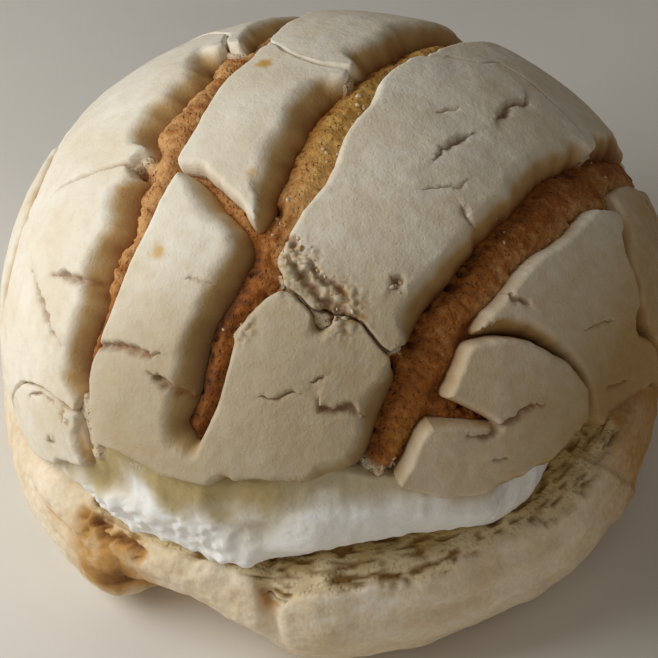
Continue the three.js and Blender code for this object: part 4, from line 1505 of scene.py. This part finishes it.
spill_reach = np.hypot(spill_rows[-1][:, 0], spill_rows[-1][:, 1])
meet = np.clip(spill_reach + 0.3 - cream_reach[0], 0, None) * spill[:, 0]
cream_reach = cream_reach + meet * (1 - smooth_step(0, 0.75, down))
cream_reach -= 4.5 * band(degrees, -107, -86, -72, -60) * smooth_step(0.4, 1.0, down)
cream_net = np.vstack([np.array(spill_rows), net_places(cream_reach, cream_height)])
for axis in range(3):
    soften(cream_net[:, :, axis], 3, 14, 5)
print("cream spills", round(meet.max(), 1), "mm further out than its solid at most")

# %% [markdown]
# ## Fluff, lobe and lump
# On the left the cream is fluffy and was pulled into upright streaks. On the right it was smoothed into one
# swollen lobe, whose upper edge comes down from the left. Between the two lie a hollow and a lump, and a
# second, small hollow lies in the fluff under the lip. The value "way" runs from the top of the spill (below
# 0) over the upper edge of the solid (0) to its lower edge (1).

# %% Cream relief
way = np.r_[np.linspace(-0.3, -0.05, len(spill_rows)), down[:, 0]][:, None]
left_part = band(degrees, -160, -146, -108, -98)
right_part = band(degrees, -100, -92, -52, -36)
low_part = smooth_step(0.1, 0.5, way)
streaks = net_hills(cream_net, 2.0, 61, (1, 1, 0.22)) + 0.5 * net_hills(cream_net, 1.0, 62, (1, 1, 0.3))
fluff = low_part * (0.6 * streaks + 0.6 * net_hills(cream_net, 1.3, 64)) + 0.8 * net_hills(cream_net, 5, 63)
lobe_line = np.interp(degrees, [-104, -97, -91, -86, -70], [-0.2, 0.04, 0.1, 0.12, 0.02])
lobe = 0.5 * bell(way, 0.55, 0.3) + 0.3 * net_hills(cream_net, 9, 65)
lobe += 0.9 * smooth_step(-0.05, 0.12, way - lobe_line) - 0.4
hollow = 1.6 * bell(degrees, -101, 4) * bell(way, 0.35, 0.22)
hollow += 1.5 * bell(degrees, -127, 3) * bell(way, 0.0, 0.12)
lump = bell(degrees, -104.5, 4.2) * bell(way, 0.78, 0.16) * (1 + 0.4 * net_hills(cream_net, 1.5, 66))
brushed = 0.22 * net_hills(cream_net, 1.6, 69, (1, 1, 0.15)) + 0.1 * net_hills(cream_net, 0.9, 70)
cream_rise = left_part * fluff + right_part * lobe - hollow + 1.6 * lump + brushed
cream_rise = (cream_rise + 0.1 * net_hills(cream_net, 3, 67)) * band(way, -0.3, -0.1, 0.9, 1)
cream_body = pushed_out(cream_net, cream_rise)
print("cream relief from", round(cream_rise.min(), 2), "to", round(cream_rise.max(), 2), "mm")

# %% [markdown]
# ## The painted shadow, and the cream as one piece
# Under the crown's lip the cream gets a painted shadow, a yellow-grey tint. On the right it ends at the
# lobe's upper edge. It also darkens the hollow, and on the left one streak is kept free of it. Inside the bun
# the cream thins to the middle, so its rows shrink towards two closing points, as the crown's cut face does.

# %% Cream piece
patchy = net_hills(cream_body, 4, 68)
# Painted shadow under the lip, in the hollow and above the lobe's upper edge, with one streak left unshaded.
stain = 1 - smooth_step(-0.1, 0.34, way + 0.12 * patchy)
stain = np.maximum(stain, 0.6 * bell(degrees, -101, 5) * bell(way, 0.25, 0.25))
lobe_lip_shadow = 0.8 * (1 - smooth_step(-0.14, 0.04, way - lobe_line + 0.05 * patchy))
stain = stain * (1 - right_part) + lobe_lip_shadow * right_part
lit_streak = bell(degrees, -121 + 12 * way, 2.2) * smooth_step(-0.2, 0, way)
stain = np.clip(stain - 0.8 * lit_streak, 0, 1)
cream_top, cream_bottom = 29.4, 23.2
inner_shares = (0.94, 0.8, 0.5, 0.2)
upper_rows = [dished(cream_body[0], cream_top, share) for share in inner_shares[::-1]]
lower_rows = [dished(cream_body[-1], cream_bottom, share) for share in inner_shares]
whole = np.vstack([np.array(upper_rows), cream_body, np.array(lower_rows)])
blank = np.zeros(len(inner_shares) * spoke_count)
make_piece("cream_whipped", *closed_net(whole, cream_top, cream_bottom), cream, "cream", ["cream_filling"],
           {"stain": np.r_[blank, stain.ravel(), blank, 0, 0]})

# %% [markdown]
# ## Loose crumbs
# Bits of paste broke off where the plates tore, and lie in the grooves, at the torn lip and on the base's
# rim. Each crumb is a small round lump pushed out of shape by random hills. A particle system could scatter
# them too, but here every cluster sits where the paste really broke. A ray towards the bun finds the surface
# that each crumb lies on, so no crumb floats.

# %% Crumb lump
lump_mesh = bmesh.new()
bmesh.ops.create_icosphere(lump_mesh, subdivisions=2, radius=1)
lump_mesh.verts.ensure_lookup_table()
lump_points = np.array([tuple(vertex.co) for vertex in lump_mesh.verts])
lump_faces = np.array([[vertex.index for vertex in face.verts] for face in lump_mesh.faces])
lump_mesh.free()
bpy.context.view_layer.update()
now = bpy.context.evaluated_depsgraph_get()
surfaces = {name: BVHTree.FromObject(bpy.data.objects[name], now) for name in piece_names}


def landing(start, towards):
    best = None
    way_in = Vector(towards) - Vector(start)
    for name, surface in surfaces.items():
        place, normal, _, gap = surface.ray_cast(Vector(start) * MM, way_in)
        if place and (best is None or gap < best[2]):
            best = (np.array(place) / MM, np.array(normal), gap, name)
    return best


print("one crumb has", len(lump_faces), "triangles")

# %% [markdown]
# ## Scattering the crumbs
# A cluster on the crown is a place on the map with a spread, a count and a largest size. A cluster on the
# base is a direction around the bun and a height, with the same three numbers. Both are listed, and a seeded
# random generator places the crumbs of a cluster, so every run gives the same ones. The rays start above the
# surface and aim at a point inside the bun.

# %% Crumb places
crown_clusters = [(10.5, -76.5, 1.6, 16, 0.7), (-6, -42, 2.0, 8, 0.5), (-1, -50, 2.0, 8, 0.5),
                  (8.4, -47, 0.6, 7, 0.4), (3, -15, 1.2, 4, 0.45), (-2, -26, 1.3, 5, 0.45),
                  (-8, -36, 1.3, 5, 0.45), (-29, -22, 1.2, 3, 0.4), (-18, -52, 1.4, 4, 0.4),
                  (26, -33, 1.6, 4, 0.4), (45, -8, 1.6, 3, 0.4), (28, 36, 2.5, 6, 0.5),
                  (1, 52, 2.0, 5, 0.5), (-30, 58, 2.0, 5, 0.5), (68, 25, 2.5, 5, 0.5)]
base_clusters = [(-86, 22, 4.0, 12, 0.45), (-74, 23, 4.0, 8, 0.4), (-58, 23, 5.0, 7, 0.4),
                 (-128, 20, 3.0, 6, 0.45)]
above_crown, inside_crown = 14.0, -4.0
above_rim, below_rim = 30, 20
chance = np.random.default_rng(7)
landed = []
for u, v, spread, count, size in crown_clusters:
    spots_uv = np.array([u, v]) + chance.normal(0, spread, (count, 2))
    starts = crown_place(spots_uv, np.full(count, above_crown))
    ends = crown_place(spots_uv, np.full(count, inside_crown))
    landed += [(landing(*ray), size) for ray in zip(starts, ends)]
for around, up, spread, count, size in base_clusters:
    turns = np.radians(around + chance.normal(0, spread, count))
    levels = up + chance.normal(0, 1.2, count)
    for turn, level in zip(turns, levels):
        start = (far_off * math.cos(turn), far_off * math.sin(turn), level + above_rim)
        landed.append((landing(start, (0, 0, level - below_rim)), size))
print("rays sent for crumbs:", len(landed))

# %% [markdown]
# ## The crumbs as one piece
# All crumbs are one mesh, because a hundred objects would only be slower. Every crumb gets its own size,
# stretch, dents and toast, and sits a quarter of its size above the surface. Rays that landed on the cream
# are left out: wet cream would swallow a crumb.

# %% Crumbs
crumb_places, crumb_faces, crumb_toast = [], [], []
for number, (place, size) in enumerate(landed):
    if place is None or place[3] == "cream_whipped":
        continue
    size = size * chance.uniform(0.35, 1.0)
    shape = lump_points * chance.uniform(0.5, 1.2, 3)
    own_place = lump_points + 7.0 * number
    dents = 0.5 * hills(own_place, 0.9, 81) + 0.3 * hills(own_place, 0.45, 82)
    crumb_faces.append(lump_faces + len(crumb_places) * len(lump_points))
    crumb_places.append(place[0] + place[1] * 0.25 * size + shape * (1 + dents)[:, None] * size)
    crumb_toast.append(np.full(len(lump_points), chance.uniform(0.12, 0.45)))
make_piece("loose_crumbs", np.vstack(crumb_places), np.vstack(crumb_faces), paste, "sugar_paste",
           marks={"toast": np.concatenate(crumb_toast)})
print("crumbs:", len(crumb_places))

# %% [markdown]
